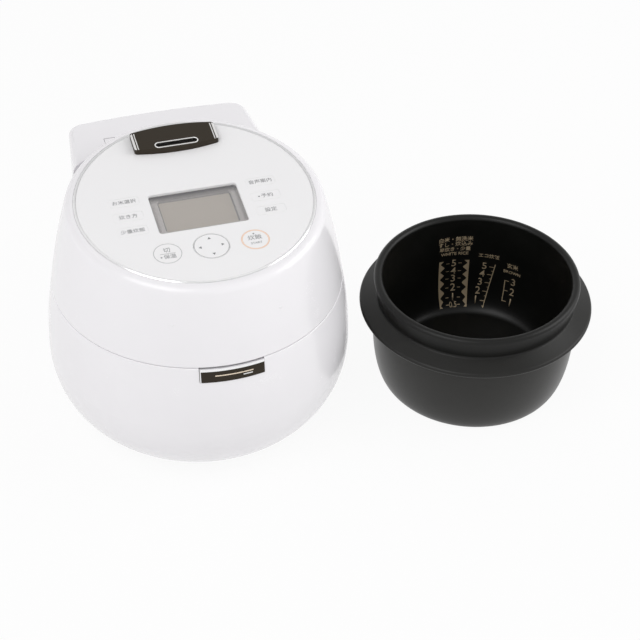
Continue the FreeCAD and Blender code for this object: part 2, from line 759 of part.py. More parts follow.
def top_rim(shape):
    back_to_flat = PANEL.inverse()
    middles = [(e, e.valueAt((e.FirstParameter + e.LastParameter) / 2)) for e in shape.Edges]
    return [e for e, middle in middles if abs(back_to_flat.multVec(middle).z) < 0.01]


def make_lid_outer():
    blank = lid_blank(0, 0)
    blank = blank.makeFillet(SHOULDER_ROUND, top_rim(blank))
    blank = blank.makeFillet(SEAM_ROUND, edges_at(blank, lid_bottom, -LARGE))
    return blank.cut(box(-LARGE, LARGE, lid_back, LARGE, 0, LARGE))


def lid_cavity(inset):
    blank = lid_blank(inset, -PANEL_THICKNESS - inset)
    return blank.cut(box(-LARGE, LARGE, lid_back - inset, LARGE, 0, LARGE))


lid_outer = make_lid_outer()
lid_inner = lid_cavity(WALL)
post_places = around(POST_COUNT, 180.0 / POST_COUNT, seam_radius - 3 * POST_RADIUS)
lid_posts = [(x, y) for x, y in post_places if y < lid_back - 4 * POST_RADIUS]
seat_radius = ring_radius + FIXED_GAP
ledge_radius = panel_radius - PANEL_LEDGE


def arm_blank(x):
    half = ARM_WIDTH / 2
    boss = rod(HINGE_COVER, x - half, x + half, hinge_y, hinge_z)
    beam = box(x - half, x + half, lid_back - WALL, hinge_y, hinge_z - HINGE_COVER, block_top)
    heel = box(x - half, x + half, hinge_y, hinge_y + HINGE_COVER, hinge_z, block_top)
    return [boss, beam, heel]


def make_lid_shell():
    pocket = cap_prism(cup_outer + FIXED_GAP, -2 * PANEL_LEDGE, LARGE / 4)
    seat = disc(seat_radius, panel_bottom, LARGE / 4)
    hole = disc(ledge_radius, -2 * PANEL_LEDGE, LARGE / 4)
    shell = lid_outer.cut(lid_inner)
    shell = shell.cut([on_panel(seat), on_panel(hole), on_panel(pocket)])
    arms = arm_blank(-ARM_X) + arm_blank(ARM_X)
    post_top = seam_height + LID_RISE / 2
    posts = [disc(POST_RADIUS, liner_top, post_top, x, y) for x, y in lid_posts]
    shell = shell.fuse(arms + posts)
    bores = [rod(PIN_RADIUS + RUNNING_GAP, x - ARM_WIDTH, x + ARM_WIDTH, hinge_y, hinge_z)
             for x in (-ARM_X, ARM_X)]
    screw_top = liner_bottom + SCREW_LENGTH + 1
    bores += [disc(SCREW_RADIUS + RUNNING_GAP, liner_bottom, screw_top, x, y) for x, y in lid_posts]
    return shell.cut(bores).removeSplitter()


def make_lid_ring():
    inner = ring_radius - RING_WIDTH
    crest = ring_radius - RING_STEP
    profile = [(inner, panel_bottom), (inner, 0), (crest, RING_STEP),
               (ring_radius, 0), (ring_radius, panel_bottom)]
    return on_panel(turned_polygon(profile))


def side_keys():
    rows = SIDE_KEY_ROWS.items()
    sides = (("left", -1), ("right", 1))
    return {side + "_" + row + "_key": (sx * SIDE_KEY_X, w) for side, sx in sides for row, w in rows}


def side_key_plate(x, w, extra, z0, z1):
    width = SIDE_KEY_WIDTH + 2 * extra
    depth = SIDE_KEY_DEPTH + 2 * extra
    return rounded_plate(width, depth, SIDE_KEY_CORNER + extra, z0, z1, x, w)


round_keys = {"cancel_key": -ROUND_KEY_X, "start_key": ROUND_KEY_X}
flange_top = panel_bottom - SEAT_GAP
flange_bottom = flange_top - KEY_FLANGE
stem_bottom = module_bottom + KEY_TRAVEL + SEAT_GAP


def make_top_panel():
    panel = disc(panel_radius, panel_bottom, 0)
    panel = panel.cut(rounded_plate(SCREEN_WIDTH, SCREEN_DEPTH, SCREEN_CORNER,
                                    panel_bottom - 1, 1, 0, SCREEN_W))
    for x in round_keys.values():
        panel = panel.cut(disc(ROUND_KEY_RADIUS + KEY_GAP, panel_bottom - 1, 1, x, ROUND_KEY_W))
    panel = panel.cut(disc(PAD_RADIUS + MOVING_GAP, panel_bottom - 1, 1, 0, PAD_W))
    for x, w in side_keys().values():
        panel = panel.cut(side_key_plate(x, w, KEY_GAP, panel_bottom - 1, 1))
    panel = panel.cut(cap_prism(cup_outer + FIXED_GAP, panel_bottom - 1, 1))
    return on_panel(panel)


def make_round_key(x):
    cap = disc(ROUND_KEY_RADIUS, -KEY_CAP, 0, x, ROUND_KEY_W)
    neck = disc(ROUND_KEY_RADIUS - KEY_FLANGE, flange_bottom, -KEY_CAP, x, ROUND_KEY_W)
    flange = disc(ROUND_KEY_RADIUS + KEY_FLANGE, flange_bottom, flange_top, x, ROUND_KEY_W)
    stem = disc(2 * WALL, stem_bottom, flange_bottom, x, ROUND_KEY_W)
    return on_panel(fused([cap, neck, flange, stem]))


def make_side_key(x, w):
    cap = side_key_plate(x, w, 0, flange_bottom, 0)
    flange = side_key_plate(x, w, KEY_FLANGE, flange_bottom, flange_top)
    stem = disc(WALL, stem_bottom, flange_bottom, x, w)
    return on_panel(fused([cap, flange, stem]))


def make_cursor_pad():
    cap = disc(PAD_RADIUS, -KEY_CAP, 0, 0, PAD_W)
    stem = disc(WALL, rocker_top + SEAT_GAP, -KEY_CAP, 0, PAD_W)
    return on_panel(fused([cap, stem]))


def make_pad_rocker():
    return on_panel(disc(2 * WALL, rocker_bottom, rocker_top, 0, PAD_W))


def make_display_window():
    width = SCREEN_WIDTH - 2 * FIXED_GAP
    depth = SCREEN_DEPTH - 2 * FIXED_GAP
    plate = rounded_plate(width, depth, SCREEN_CORNER - FIXED_GAP, panel_bottom, -SCREEN_SINK, 0, SCREEN_W)
    return on_panel(plate)


def make_display_bezel():
    outer = rounded_plate(SCREEN_WIDTH + 2 * WALL, SCREEN_DEPTH + 2 * WALL, SCREEN_CORNER + WALL,
                          bezel_bottom, panel_bottom, 0, SCREEN_W)
    hole = rounded_plate(SCREEN_WIDTH - 2 * SCREEN_BEZEL, SCREEN_DEPTH - SCREEN_BEZEL - BEZEL_FRONT,
                         SCREEN_CORNER, bezel_bottom - 1, panel_bottom + 1, 0, display_w)
    return on_panel(outer.cut(hole))


def make_lcd_screen():
    width = SCREEN_WIDTH - SCREEN_BEZEL
    depth = SCREEN_DEPTH - SCREEN_BEZEL
    return on_panel(rounded_plate(width, depth, SCREEN_CORNER, module_bottom, bezel_bottom, 0, display_w))


def make_control_board():
    half = SIDE_KEY_X + SIDE_KEY_WIDTH / 2
    front = ROUND_KEY_W - ROUND_KEY_RADIUS
    rear = SIDE_KEY_ROWS["upper"] + SIDE_KEY_DEPTH
    board = box(-half, half, front, rear, module_bottom - BOARD_THICKNESS, module_bottom)
    board = board.common(disc(ledge_radius - WALL, module_bottom - BOARD_THICKNESS, module_bottom))
    switch = disc(WALL, module_bottom, rocker_bottom - SEAT_GAP, 0, PAD_W)
    return on_panel(fused([board, switch]))


# Steam cap: a low cover on a case that drops into a pocket behind the display
def cap_prism(extra, z0, z1):
    half = CAP_WIDTH / 2 + extra
    side = CAP_SIDE / 2 + extra
    bow = side + CAP_BOW

    def at(x, w):
        return Vector(x, cap_w + w, z0)
    edges = [
        arc(at(-half, -side), at(0, -bow), at(half, -side)),
        line(at(half, -side), at(half, side)),
        arc(at(half, side), at(0, bow), at(-half, side)),
        line(at(-half, side), at(-half, -side)),
    ]
    prism = Part.Face(Part.Wire(edges)).extrude(UP * (z1 - z0))
    return prism.makeFillet(max(CAP_CORNER + extra, CAP_EDGE), upright(prism))


def vent_slot(z0, z1):
    return rounded_plate(VENT_WIDTH, VENT_DEPTH, VENT_DEPTH * 0.45, z0, z1, 0, vent_w)


def make_steam_cap():
    cover = cap_prism(0, SEAT_GAP, CAP_RISE)
    cover = cover.makeFillet(CAP_EDGE, edges_at(cover, CAP_RISE, -LARGE))
    cover = cover.cut(cap_prism(-CAP_CASE_INSET - CAP_WALL, 0, CAP_RISE - CAP_WALL))
    return on_panel(cover.cut(vent_slot(0, CAP_RISE + 1)))


def make_cap_case():
    case = cap_prism(-CAP_CASE_INSET, -CAP_CASE_DEPTH, SEAT_GAP)
    case = case.cut(cap_prism(-CAP_CASE_INSET - CAP_WALL, -CAP_CASE_DEPTH + CAP_WALL, 1))
    return on_panel(case.cut(disc(DUCT_RADIUS - CAP_WALL, -LARGE, 0, 0, cap_w - DUCT_FORWARD)))


def make_steam_duct():
    cup = cap_prism(cup_outer, pocket_floor - CAP_WALL, panel_bottom)
    cup = on_panel(cup.cut(cap_prism(cup_inner, pocket_floor, 1)))
    duct = fused([cup, disc(DUCT_RADIUS, liner_top, duct_head.z - CAP_WALL / 2, 0, duct_head.y)])
    return duct.cut(disc(DUCT_RADIUS - CAP_WALL, liner_top - 1, seam_height + LID_RISE, 0, duct_head.y))


# Underside of the lid
def make_lid_liner():
    plate = lid_cavity(WALL + FIXED_GAP).common(level(liner_bottom, liner_top))
    plate = plate.cut(disc(DUCT_RADIUS - CAP_WALL, 0, LARGE, 0, duct_head.y))
    for x, y in lid_posts:
        plate = plate.cut(disc(SCREW_RADIUS + FIXED_GAP, 0, LARGE, x, y))
        plate = plate.cut(disc(SCREW_HEAD + FIXED_GAP, 0, liner_bottom, x, y))
    swing = HOOK_THICKNESS + hook_swing + HOOK_NOSE
    slot = box(-HOOK_WIDTH / 2 - 2 * MOVING_GAP, HOOK_WIDTH / 2 + 2 * MOVING_GAP,
               hook_front - HOOK_NOSE - 2 * MOVING_GAP, hook_front + swing, 0, LARGE)
    return plate.cut(slot)


def make_lid_catch():
    edge = hook_front - HOOK_NOSE - 2 * MOVING_GAP
    half = HOOK_WIDTH / 2 + WALL
    return box(-half, half, edge - HOOK_NOSE, edge, liner_top, catch_height)


def make_lid_heater():
    outer = duct_head.y - DUCT_RADIUS - WALL
    return ring(outer - HEATER_WIDTH, outer, liner_top, liner_top + HEATER_THICKNESS)


def make_lid_screws():
    return Part.makeCompound([screw(x, y, liner_bottom, liner_bottom + SCREW_LENGTH) for x, y in lid_posts])


def make_base_screws():
    seat = FOOT_HEIGHT + SCREW_HEAD_HEIGHT
    return Part.makeCompound([screw(x, y, seat, holder_top) for x, y in base_posts])


def make_inner_lid():
    plate = disc(inner_lid_radius, inner_lid_bottom, inner_lid_top)
    return plate.cut(disc(DUCT_RADIUS - CAP_WALL, 0, LARGE, 0, duct_head.y))


def make_lid_gasket():
    return ring(rim_inner - GASKET_WIDTH / 4, inner_lid_radius - SEAT_GAP, gasket_bottom, inner_lid_bottom)


# Inner pot: thick wall, round bottom, wide flange under an upright collar with a rounded lip
def make_inner_pot():
    edge = FLANGE_EDGE / 2
    under = flange_height - FLANGE_EDGE
    brim = flange_radius - edge
    lip_z = POT_HEIGHT - LIP_RADIUS
    lip_out = rim_inner + 2 * LIP_RADIUS
    foot_r = neck_radius + NECK_RISE / 2
    foot_z = flange_height + FLANGE_SLOPE
    inner_bend = POT_FLOOR + POT_INNER_BEND
    outer_foot = section(0, 0)
    heel = section(pot_base_radius, 0)
    side = section(POT_RADIUS, POT_BEND)
    armpit = section(POT_RADIUS, under - FLANGE_SLOPE)
    brim_low = section(brim, under)
    brim_high = section(brim, flange_height)
    neck_low = section(foot_r, foot_z)
    neck_high = section(neck_radius, foot_z + NECK_RISE)
    lip_low = section(lip_out, lip_z)
    lip_in = section(rim_inner, lip_z)
    wall = section(rim_inner, inner_bend)
    floor_edge = section(pot_inner_base, POT_FLOOR)
    floor = section(0, POT_FLOOR)
    edges = [
        line(outer_foot, heel),
        quarter(heel, section(POT_RADIUS, 0), side),
        line(side, armpit),
        line(armpit, brim_low),
        arc(brim_low, section(flange_radius, under + edge), brim_high),
        line(brim_high, neck_low),
        quarter(neck_low, section(neck_radius, foot_z), neck_high),
        line(neck_high, lip_low),
        arc(lip_low, section(rim_inner + LIP_RADIUS, POT_HEIGHT), lip_in),
        line(lip_in, wall),
        quarter(wall, section(rim_inner, POT_FLOOR), floor_edge),
        line(floor_edge, floor),
        line(floor, outer_foot),
    ]
    pot = turned(edges)
    pot.translate(Vector(pot_x, POT_Y, 0))
    return pot


parts["base_plate"] = make_base_plate()
parts["rubber_feet"] = make_feet()
parts["base_screws"] = make_base_screws()
parts["body_shell"] = make_body_shell()
parts["top_frame"] = make_top_frame()
parts["pot_well"] = make_pot_well()
parts["rear_housing"] = make_rear_housing()
parts["hinge_cover"] = make_hinge_cover()
parts["hinge_pin"] = make_hinge_pin()
parts["hinge_springs"] = make_hinge_springs()
parts["power_board"] = make_power_board()
parts["heat_sink"] = make_heat_sink()
parts["fan_frame"] = make_fan_frame()
parts["fan_rotor"] = make_fan_rotor()
parts["power_inlet"] = make_power_inlet()
parts["inlet_contacts"] = make_inlet_contacts()
parts["coil_holder"] = make_coil_holder()
parts["inner_coil"] = ring(INNER_COIL_START, inner_coil_end, holder_top, coil_top)
parts["outer_coil"] = ring(OUTER_COIL_START, OUTER_COIL_START + OUTER_COIL_WIDTH, holder_top, coil_top)
parts["ferrite_bars"] = make_ferrite_bars()
parts["sensor_guide"] = make_sensor_guide()
parts["pot_sensor"] = make_pot_sensor()
parts["sensor_spring"] = make_sensor_spring()
parts["open_button"] = make_open_button()
parts["button_bar"] = make_button_bar()
parts["latch_hook"] = make_latch_hook()
parts["latch_pin"] = make_latch_pin()
parts["lid_shell"] = make_lid_shell()
parts["lid_ring"] = make_lid_ring()
parts["top_panel"] = make_top_panel()
for name, key_x in round_keys.items():
    parts[name] = make_round_key(key_x)
for name, (key_x, key_w) in side_keys().items():
    parts[name] = make_side_key(key_x, key_w)
parts["cursor_pad"] = make_cursor_pad()
parts["pad_rocker"] = make_pad_rocker()
parts["display_window"] = make_display_window()
parts["display_bezel"] = make_display_bezel()
parts["lcd_screen"] = make_lcd_screen()
parts["control_board"] = make_control_board()
parts["steam_cap"] = make_steam_cap()
parts["cap_case"] = make_cap_case()
parts["steam_duct"] = make_steam_duct()
parts["lid_liner"] = make_lid_liner()
parts["lid_catch"] = make_lid_catch()
parts["lid_heater"] = make_lid_heater()
parts["lid_screws"] = make_lid_screws()
parts["inner_lid"] = make_inner_lid()
parts["lid_gasket"] = make_lid_gasket()
parts["inner_pot"] = make_inner_pot()

os.makedirs("parts", exist_ok=True)
for name, shape in parts.items():
    shape.exportStep("parts/" + name + ".step")
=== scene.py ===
import math

import bpy
from mathutils import Matrix, Vector


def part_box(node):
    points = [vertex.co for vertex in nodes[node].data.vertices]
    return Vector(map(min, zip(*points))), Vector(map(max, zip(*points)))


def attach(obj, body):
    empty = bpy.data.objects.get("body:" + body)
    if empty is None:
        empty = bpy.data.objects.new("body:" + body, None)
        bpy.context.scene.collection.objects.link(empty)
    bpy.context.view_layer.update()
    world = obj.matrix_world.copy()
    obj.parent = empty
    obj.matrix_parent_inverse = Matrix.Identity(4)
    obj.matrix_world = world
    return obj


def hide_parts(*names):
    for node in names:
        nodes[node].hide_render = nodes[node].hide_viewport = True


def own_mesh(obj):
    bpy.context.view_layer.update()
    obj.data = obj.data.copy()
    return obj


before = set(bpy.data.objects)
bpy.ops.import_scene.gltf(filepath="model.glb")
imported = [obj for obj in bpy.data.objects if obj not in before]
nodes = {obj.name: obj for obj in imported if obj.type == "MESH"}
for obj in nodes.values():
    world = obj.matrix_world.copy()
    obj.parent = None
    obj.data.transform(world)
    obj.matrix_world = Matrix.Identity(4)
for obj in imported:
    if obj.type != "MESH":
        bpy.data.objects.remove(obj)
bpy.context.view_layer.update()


# White housing: the round body, the sloping lid and the block behind it.
# Injection-moulded gloss plastic, with the faint ripple and the very slight
# unevenness of tone that a large moulding has.
class Shade:
    """A socket of a material, so that shader maths reads as sums."""

    def __init__(self, tree, socket):
        self.tree = tree
        self.socket = socket

    def make(self, kind, inputs, output=0, **settings):
        node = self.tree.nodes.new(kind)
        for name, value in settings.items():
            setattr(node, name, value)
        for name, value in inputs.items():
            if isinstance(value, Shade):
                self.tree.links.new(value.socket, node.inputs[name])
            else:
                node.inputs[name].default_value = value
        return Shade(self.tree, node.outputs[output])

    def maths(self, operation, first, second):
        return self.make("ShaderNodeMath", {0: first, 1: second}, operation=operation)

    def __add__(self, other):
        return self.maths("ADD", self, other)

    def __radd__(self, other):
        return self.maths("ADD", other, self)

    def __sub__(self, other):
        return self.maths("SUBTRACT", self, other)

    def __rsub__(self, other):
        return self.maths("SUBTRACT", other, self)

    def __mul__(self, other):
        return self.maths("MULTIPLY", self, other)

    def __rmul__(self, other):
        return self.maths("MULTIPLY", other, self)

    def __gt__(self, other):
        return self.maths("GREATER_THAN", self, other)

    def __lt__(self, other):
        return self.maths("LESS_THAN", self, other)

    def size(self):
        return self.maths("ABSOLUTE", self, 0.0)

    def vectors(self, operation, other, output):
        return self.make("ShaderNodeVectorMath", {0: self, 1: other}, output, operation=operation)

    def part(self, axis):
        return self.make("ShaderNodeSeparateXYZ", {0: self}, axis)

    def ramp(self, low, high, first, last):
        return self.make("ShaderNodeMapRange", {0: self, 1: low, 2: high, 3: first, 4: last})

    def noise(self, scale, detail=2.0):
        return self.make("ShaderNodeTexNoise", {"Vector": self, "Scale": scale, "Detail": detail})

    def rings(self, scale, distortion):
        inputs = {"Vector": self, "Scale": scale, "Distortion": distortion, "Detail": 2.0}
        return self.make("ShaderNodeTexWave", inputs, 1, wave_type="RINGS", rings_direction="Z")

    def bricks(self, scale, joint, first, second, mortar, **settings):
        inputs = {"Vector": self, "Scale": scale, "Mortar Size": joint,
                  "Color1": (*first, 1), "Color2": (*second, 1), "Mortar": (*mortar, 1)}
        return self.make("ShaderNodeTexBrick", inputs, **settings)

    def mapped(self, inputs, **settings):
        return self.make("ShaderNodeMapping", {"Vector": self, **inputs}, **settings)

    def tone(self, share, first, second):
        first, second = (end if isinstance(end, Shade) else (*end, 1) for end in (first, second))
        inputs = {0: share, 6: first, 7: second}
        return self.make("ShaderNodeMix", inputs, 2, data_type="RGBA")


class Finish:
    """A material with its coordinates at hand and its shader's sockets by name."""

    def __init__(self, name, **sockets):
        self.material = bpy.data.materials.new(name)
        self.material.use_nodes = True
        tree = self.material.node_tree
        self.shader = tree.nodes["Principled BSDF"]
        for socket, value in sockets.items():
            self.shader.inputs[socket.replace("_", " ")].default_value = value
        place = tree.nodes.new("ShaderNodeTexCoord")
        self.place = Shade(tree, place.outputs["Object"])
        self.facing = Shade(tree, place.outputs["Normal"])

    def feed(self, socket, value):
        self.place.tree.links.new(value.socket, self.shader.inputs[socket])

    def bump(self, height, strength, depth):
        inputs = {"Height": height, "Strength": strength, "Distance": depth}
        self.feed("Normal", height.make("ShaderNodeBump", inputs))

    def dress(self, *names):
        for name in names:
            mesh = nodes[name].data
            mesh.materials.clear()
            mesh.materials.append(self.material)


white = Finish("white_gloss_plastic", Coat_Weight=0.35, Coat_Roughness=0.06,
               Specular_IOR_Level=0.45)
ripple = white.place.noise(26.0)
grain = white.place.noise(900.0, 1.0)
white.feed("Base Color", white.place.tone(ripple, (0.872, 0.857, 0.880), (0.892, 0.877, 0.900)))
white.feed("Roughness", 0.2 + ripple * 0.08 + grain * 0.03)
white.bump(ripple * 0.7 + grain * 0.05, 0.05, 0.001)
white.dress("body_shell", "lid_shell", "hinge_cover", "rear_housing", "top_frame")


# Base tray, lid liner, steam pocket and cap case: grey moulded plastic with the fine
# spark-eroded grain of parts that are not meant to shine. The tray and the liner are
# screwed in place from below.
grey = Finish("grey_grained_plastic", Specular_IOR_Level=0.4)
spark = grey.place.noise(1600.0, 3.0)
cloud = grey.place.noise(18.0)
grey.feed("Base Color", grey.place.tone(cloud, (0.40, 0.40, 0.395), (0.47, 0.47, 0.465)))
grey.feed("Roughness", 0.48 + spark * 0.16)
grey.bump(spark, 0.25, 0.0002)
grey.dress("base_plate", "lid_liner", "steam_duct", "cap_case")


# Feet and lid seal: dark grey moulded rubber, dull and slightly dusty.
# The feet are plugged into the tray, and the seal is stretched over the inner lid's edge.
rubber = Finish("grey_rubber", Specular_IOR_Level=0.25)
dust = rubber.place.noise(240.0, 4.0)
rubber.feed("Base Color", rubber.place.tone(dust, (0.10, 0.10, 0.10), (0.17, 0.168, 0.165)))
rubber.feed("Roughness", 0.68 + dust * 0.2)
rubber.bump(dust, 0.2, 0.0002)
rubber.dress("rubber_feet", "lid_gasket")


# Pot well, coil holder, sensor guide and pad rocker: heat-resistant plastic, nearly
# black, with the mottle of a filled moulding.
heat = Finish("heat_resistant_plastic", Specular_IOR_Level=0.35)
mottle = heat.place.noise(420.0, 4.0)
heat.feed("Base Color", heat.place.tone(mottle, (0.028, 0.028, 0.03), (0.05, 0.05, 0.052)))
heat.feed("Roughness", 0.5 + mottle * 0.2)
heat.bump(mottle, 0.2, 0.0002)
heat.dress("pot_well", "coil_holder", "sensor_guide", "pad_rocker")


# Induction coils: flat spirals of lacquered copper wire, laid in the holder under the
# well. Six sintered ferrite bars below them turn the field upwards.
copper = Finish("lacquered_copper", Metallic=1.0, Coat_Weight=0.4, Coat_Roughness=0.2)
turns = copper.place.rings(160.0, 0.4)
copper.feed("Base Color", copper.place.tone(turns, (0.22, 0.08, 0.035), (0.66, 0.31, 0.16)))
copper.feed("Roughness", 0.5 - turns * 0.2)
copper.bump(turns, 0.5, 0.0006)
copper.dress("inner_coil", "outer_coil")

ferrite = Finish("sintered_ferrite", Specular_IOR_Level=0.3)
pores = ferrite.place.noise(1200.0, 4.0)
ferrite.feed("Base Color", ferrite.place.tone(pores, (0.02, 0.02, 0.021), (0.055, 0.055, 0.056)))
ferrite.feed("Roughness", 0.6 + pores * 0.25)
ferrite.bump(pores, 0.3, 0.0002)
ferrite.dress("ferrite_bars")


# Sensor cap, heat sink, heater plate and inner lid: bare aluminium with the fine
# circular lines of turned and spun sheet.
alloy = Finish("turned_aluminium", Metallic=1.0)
lines = alloy.place.rings(420.0, 2.0)
haze = alloy.place.noise(60.0, 3.0)
alloy.feed("Base Color", alloy.place.tone(haze, (0.60, 0.60, 0.61), (0.72, 0.72, 0.725)))
alloy.feed("Roughness", 0.26 + haze * 0.14 + lines * 0.08)
alloy.bump(lines, 0.12, 0.0001)
alloy.dress("pot_sensor", "heat_sink", "lid_heater", "inner_lid")


# Pins and screws: zinc-plated steel, turned or headed cold, with the slight flake of
# thin plating. The springs are of the same steel.
steel = Finish("zinc_plated_steel", Metallic=1.0)
flake = steel.place.noise(500.0, 3.0)
steel.feed("Base Color", steel.place.tone(flake, (0.46, 0.46, 0.47), (0.62, 0.62, 0.62)))
steel.feed("Roughness", 0.28 + flake * 0.2)
steel.bump(flake, 0.1, 0.0001)
steel.dress("base_screws", "lid_screws", "hinge_pin", "latch_pin")


# Springs: round steel wire, wound cold. One stands on the sensor's guide and gives way
# as the sensor is pushed down. Two more lie round the hinge pin, at its ends.
MM = 0.001
WIRE = 1.6 * MM
SPRING_PLAY = 0.05 * MM
SENSOR_TURNS = 3
HINGE_SPRING = 20.0 * MM
HINGE_TURNS = 11
TURN_STEPS = 28


def fresh(add, **sizes):
    bpy.ops.object.select_all(action="DESELECT")
    add(**sizes)
    return bpy.context.object


def fix_place():
    bpy.ops.object.transform_apply(location=True, rotation=True, scale=True)


def settle(piece, place, name, finish, body):
    piece.name = name
    piece.data.name = name
    piece.matrix_world = place
    bpy.ops.object.select_all(action="DESELECT")
    piece.select_set(True)
    bpy.context.view_layer.objects.active = piece
    fix_place()
    piece.data.materials.clear()
    piece.data.materials.append(finish.material)
    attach(piece, body)


def copies(piece, count):
    pieces = [piece]
    for _ in range(count - 1):
        other = piece.copy()
        other.data = piece.data.copy()
        bpy.context.collection.objects.link(other)
        pieces.append(other)
    return pieces


def coil(radius, length, turns):
    piece = fresh(bpy.ops.mesh.primitive_circle_add, vertices=10, radius=WIRE / 2,
                  location=(radius, 0, WIRE / 2), rotation=(math.pi / 2, 0, 0))
    fix_place()
    winding = piece.modifiers.new("winding", "SCREW")
    winding.steps = TURN_STEPS
    winding.render_steps = TURN_STEPS
    winding.iterations = turns
    winding.screw_offset = (length - WIRE) / turns
    bpy.ops.object.modifier_apply(modifier=winding.name)
    bpy.ops.object.mode_set(mode="EDIT")
    bpy.ops.mesh.select_all(action="SELECT")
    bpy.ops.mesh.fill_holes(sides=0)
    bpy.ops.mesh.select_all(action="SELECT")
    bpy.ops.mesh.normals_make_consistent(inside=False)
    bpy.ops.object.mode_set(mode="OBJECT")
    bpy.ops.object.shade_smooth_by_angle()
    return piece


low, high = (Vector(corner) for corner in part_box("sensor_spring"))
tall = high.z - low.z
foot = Vector(((low.x + high.x) / 2, (low.y + high.y) / 2, low.z))
piece = coil((high.x - low.x - WIRE) / 2, tall - 2 * SPRING_PLAY, SENSOR_TURNS)
place = Matrix.Translation(foot + Vector((0, 0, SPRING_PLAY)))
settle(piece, place, "sensor_spring_coil", steel, "body")
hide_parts("sensor_spring")
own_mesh(piece)

low, high = (Vector(corner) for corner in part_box("hinge_springs"))
wound = coil((high.z - low.z - WIRE) / 2, HINGE_SPRING, HINGE_TURNS)
starts = (("left", low.x), ("right", high.x - HINGE_SPRING))
for piece, (side, start) in zip(copies(wound, 2), starts):
    place = Matrix.Translation((start, (low.y + high.y) / 2, (low.z + high.z) / 2))
    place = place @ Matrix.Rotation(math.pi / 2, 4, "Y")
    settle(piece, place, "hinge_spring_" + side, steel, "body")
    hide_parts("hinge_springs")


# Latch hook and lid catch: natural acetal, milky and waxy, because it slides without
# grease. The hook turns on a steel pin, and the catch is pushed into the lid.
acetal = Finish("natural_acetal", Specular_IOR_Level=0.4, Subsurface_Weight=0.05)
wax = acetal.place.noise(90.0, 3.0)
acetal.feed("Base Color", acetal.place.tone(wax, (0.62, 0.61, 0.58), (0.72, 0.71, 0.68)))
acetal.feed("Roughness", 0.36 + wax * 0.12)
acetal.bump(wax, 0.08, 0.0003)
acetal.dress("latch_hook", "lid_catch")


# Circuit boards: glass-fibre sheet with green lacquer over copper tracks.
# The power board stands on bosses in the block, the control board lies under the keys.
board = Finish("board_lacquer", Coat_Weight=0.5, Coat_Roughness=0.15)
tracks = board.place.bricks(160.0, 0.03, (0.012, 0.10, 0.04), (0.02, 0.14, 0.06),
                            (0.05, 0.24, 0.10))
board.feed("Base Color", tracks)
board.feed("Roughness", 0.35 + board.place.noise(300.0) * 0.15)
board.dress("power_board", "control_board")


# Fan and power inlet: dark glass-filled plastic, screwed and snapped into the block.
# The two contacts of the inlet are bare brass, a little tarnished.
dark = Finish("dark_filled_plastic", Specular_IOR_Level=0.4)
fibre = dark.place.noise(700.0, 4.0)
dark.feed("Base Color", dark.place.tone(fibre, (0.016, 0.016, 0.017), (0.034, 0.034, 0.035)))
dark.feed("Roughness", 0.42 + fibre * 0.2)
dark.bump(fibre, 0.15, 0.0002)
dark.dress("power_inlet", "fan_frame", "fan_rotor")

brass = Finish("bare_brass", Metallic=1.0)
tarnish = brass.place.noise(400.0, 3.0)
brass.feed("Base Color", brass.place.tone(tarnish, (0.52, 0.38, 0.16), (0.76, 0.60, 0.30)))
brass.feed("Roughness", 0.22 + tarnish * 0.2)
brass.dress("inlet_contacts")


# Chrome ring round the panel and chrome bar over the front button: bright plating on
# moulded plastic, softened by wiping. Both are clipped in.
chrome = Finish("bright_chrome", Metallic=1.0)
smear = chrome.place.noise(120.0, 2.0)
chrome.feed("Base Color", chrome.place.tone(smear, (0.86, 0.86, 0.865), (0.93, 0.93, 0.935)))
chrome.feed("Roughness", 0.13 + smear * 0.07)
chrome.bump(smear, 0.02, 0.0003)
chrome.dress("lid_ring", "button_bar")


# Sloping panel with its keys and pad: white moulded caps and panel under a satin film,
# with a fine even grain that spreads the light. Places on it are in millimetres.
ROUND_KEYS = {"cancel_key": (-39.9, -65.0), "start_key": (39.9, -65.0)}
SIDE_KEYS = {"left_upper_key": (-63.6, 10.0), "right_upper_key": (63.6, 10.0),
             "left_middle_key": (-63.6, -10.0), "right_middle_key": (63.6, -10.0),
             "left_lower_key": (-63.6, -29.6), "right_lower_key": (63.6, -29.6)}
film = Finish("satin_white_film", Specular_IOR_Level=0.4, Coat_Weight=0.15, Coat_Roughness=0.2)
satin = film.place.noise(1100.0, 2.0)
drift = film.place.noise(14.0)
film.feed("Base Color", film.place.tone(drift, (0.868, 0.860, 0.870), (0.884, 0.877, 0.886)))
film.feed("Roughness", 0.3 + satin * 0.12)
film.bump(satin, 0.05, 0.0001)
film.dress("top_panel", "cursor_pad", *ROUND_KEYS, *SIDE_KEYS)


# Display: a sunk grey frame, painted darker towards its back edge as painted shade from
# the recess, the tan-grey liquid-crystal glass, darker along its sides and back edge, and a
# clear acrylic window that is glued flush into the panel.
PANEL_HEIGHT = 233.4 * MM
PANEL_SLOPE = 0.08490
PANEL_TILT = math.asin(PANEL_SLOPE)
DISPLAY_MIDDLE = -14.3 * MM
FRAME_FRONT = 18.5 * MM
FRAME_BACK = 26.2 * MM
GLASS_SIDE = 32.9 * MM
GLASS_BACK = 19.8 * MM


def on_panel(finish):
    slope = {"Location": (0, 0, PANEL_HEIGHT), "Rotation": (PANEL_TILT, 0, 0)}
    flat = finish.place.mapped(slope, vector_type="TEXTURE")
    return flat, flat.part("Y") - DISPLAY_MIDDLE


bezel = Finish("bezel_grey", Specular_IOR_Level=0.3)
speckle = bezel.place.noise(1500.0, 2.0)
flat, behind = on_panel(bezel)
# Painted shade: the frame's colour runs from grey at its front to near black at its back, where
# the recess shades it.
deep = behind.ramp(FRAME_FRONT, FRAME_BACK, 0.0, 1.0)
deep = deep + speckle * 0.06
bezel.feed("Base Color", flat.tone(deep, (0.43, 0.405, 0.40), (0.05, 0.045, 0.05)))
bezel.feed("Roughness", 0.4 + speckle * 0.2)
bezel.dress("display_bezel")

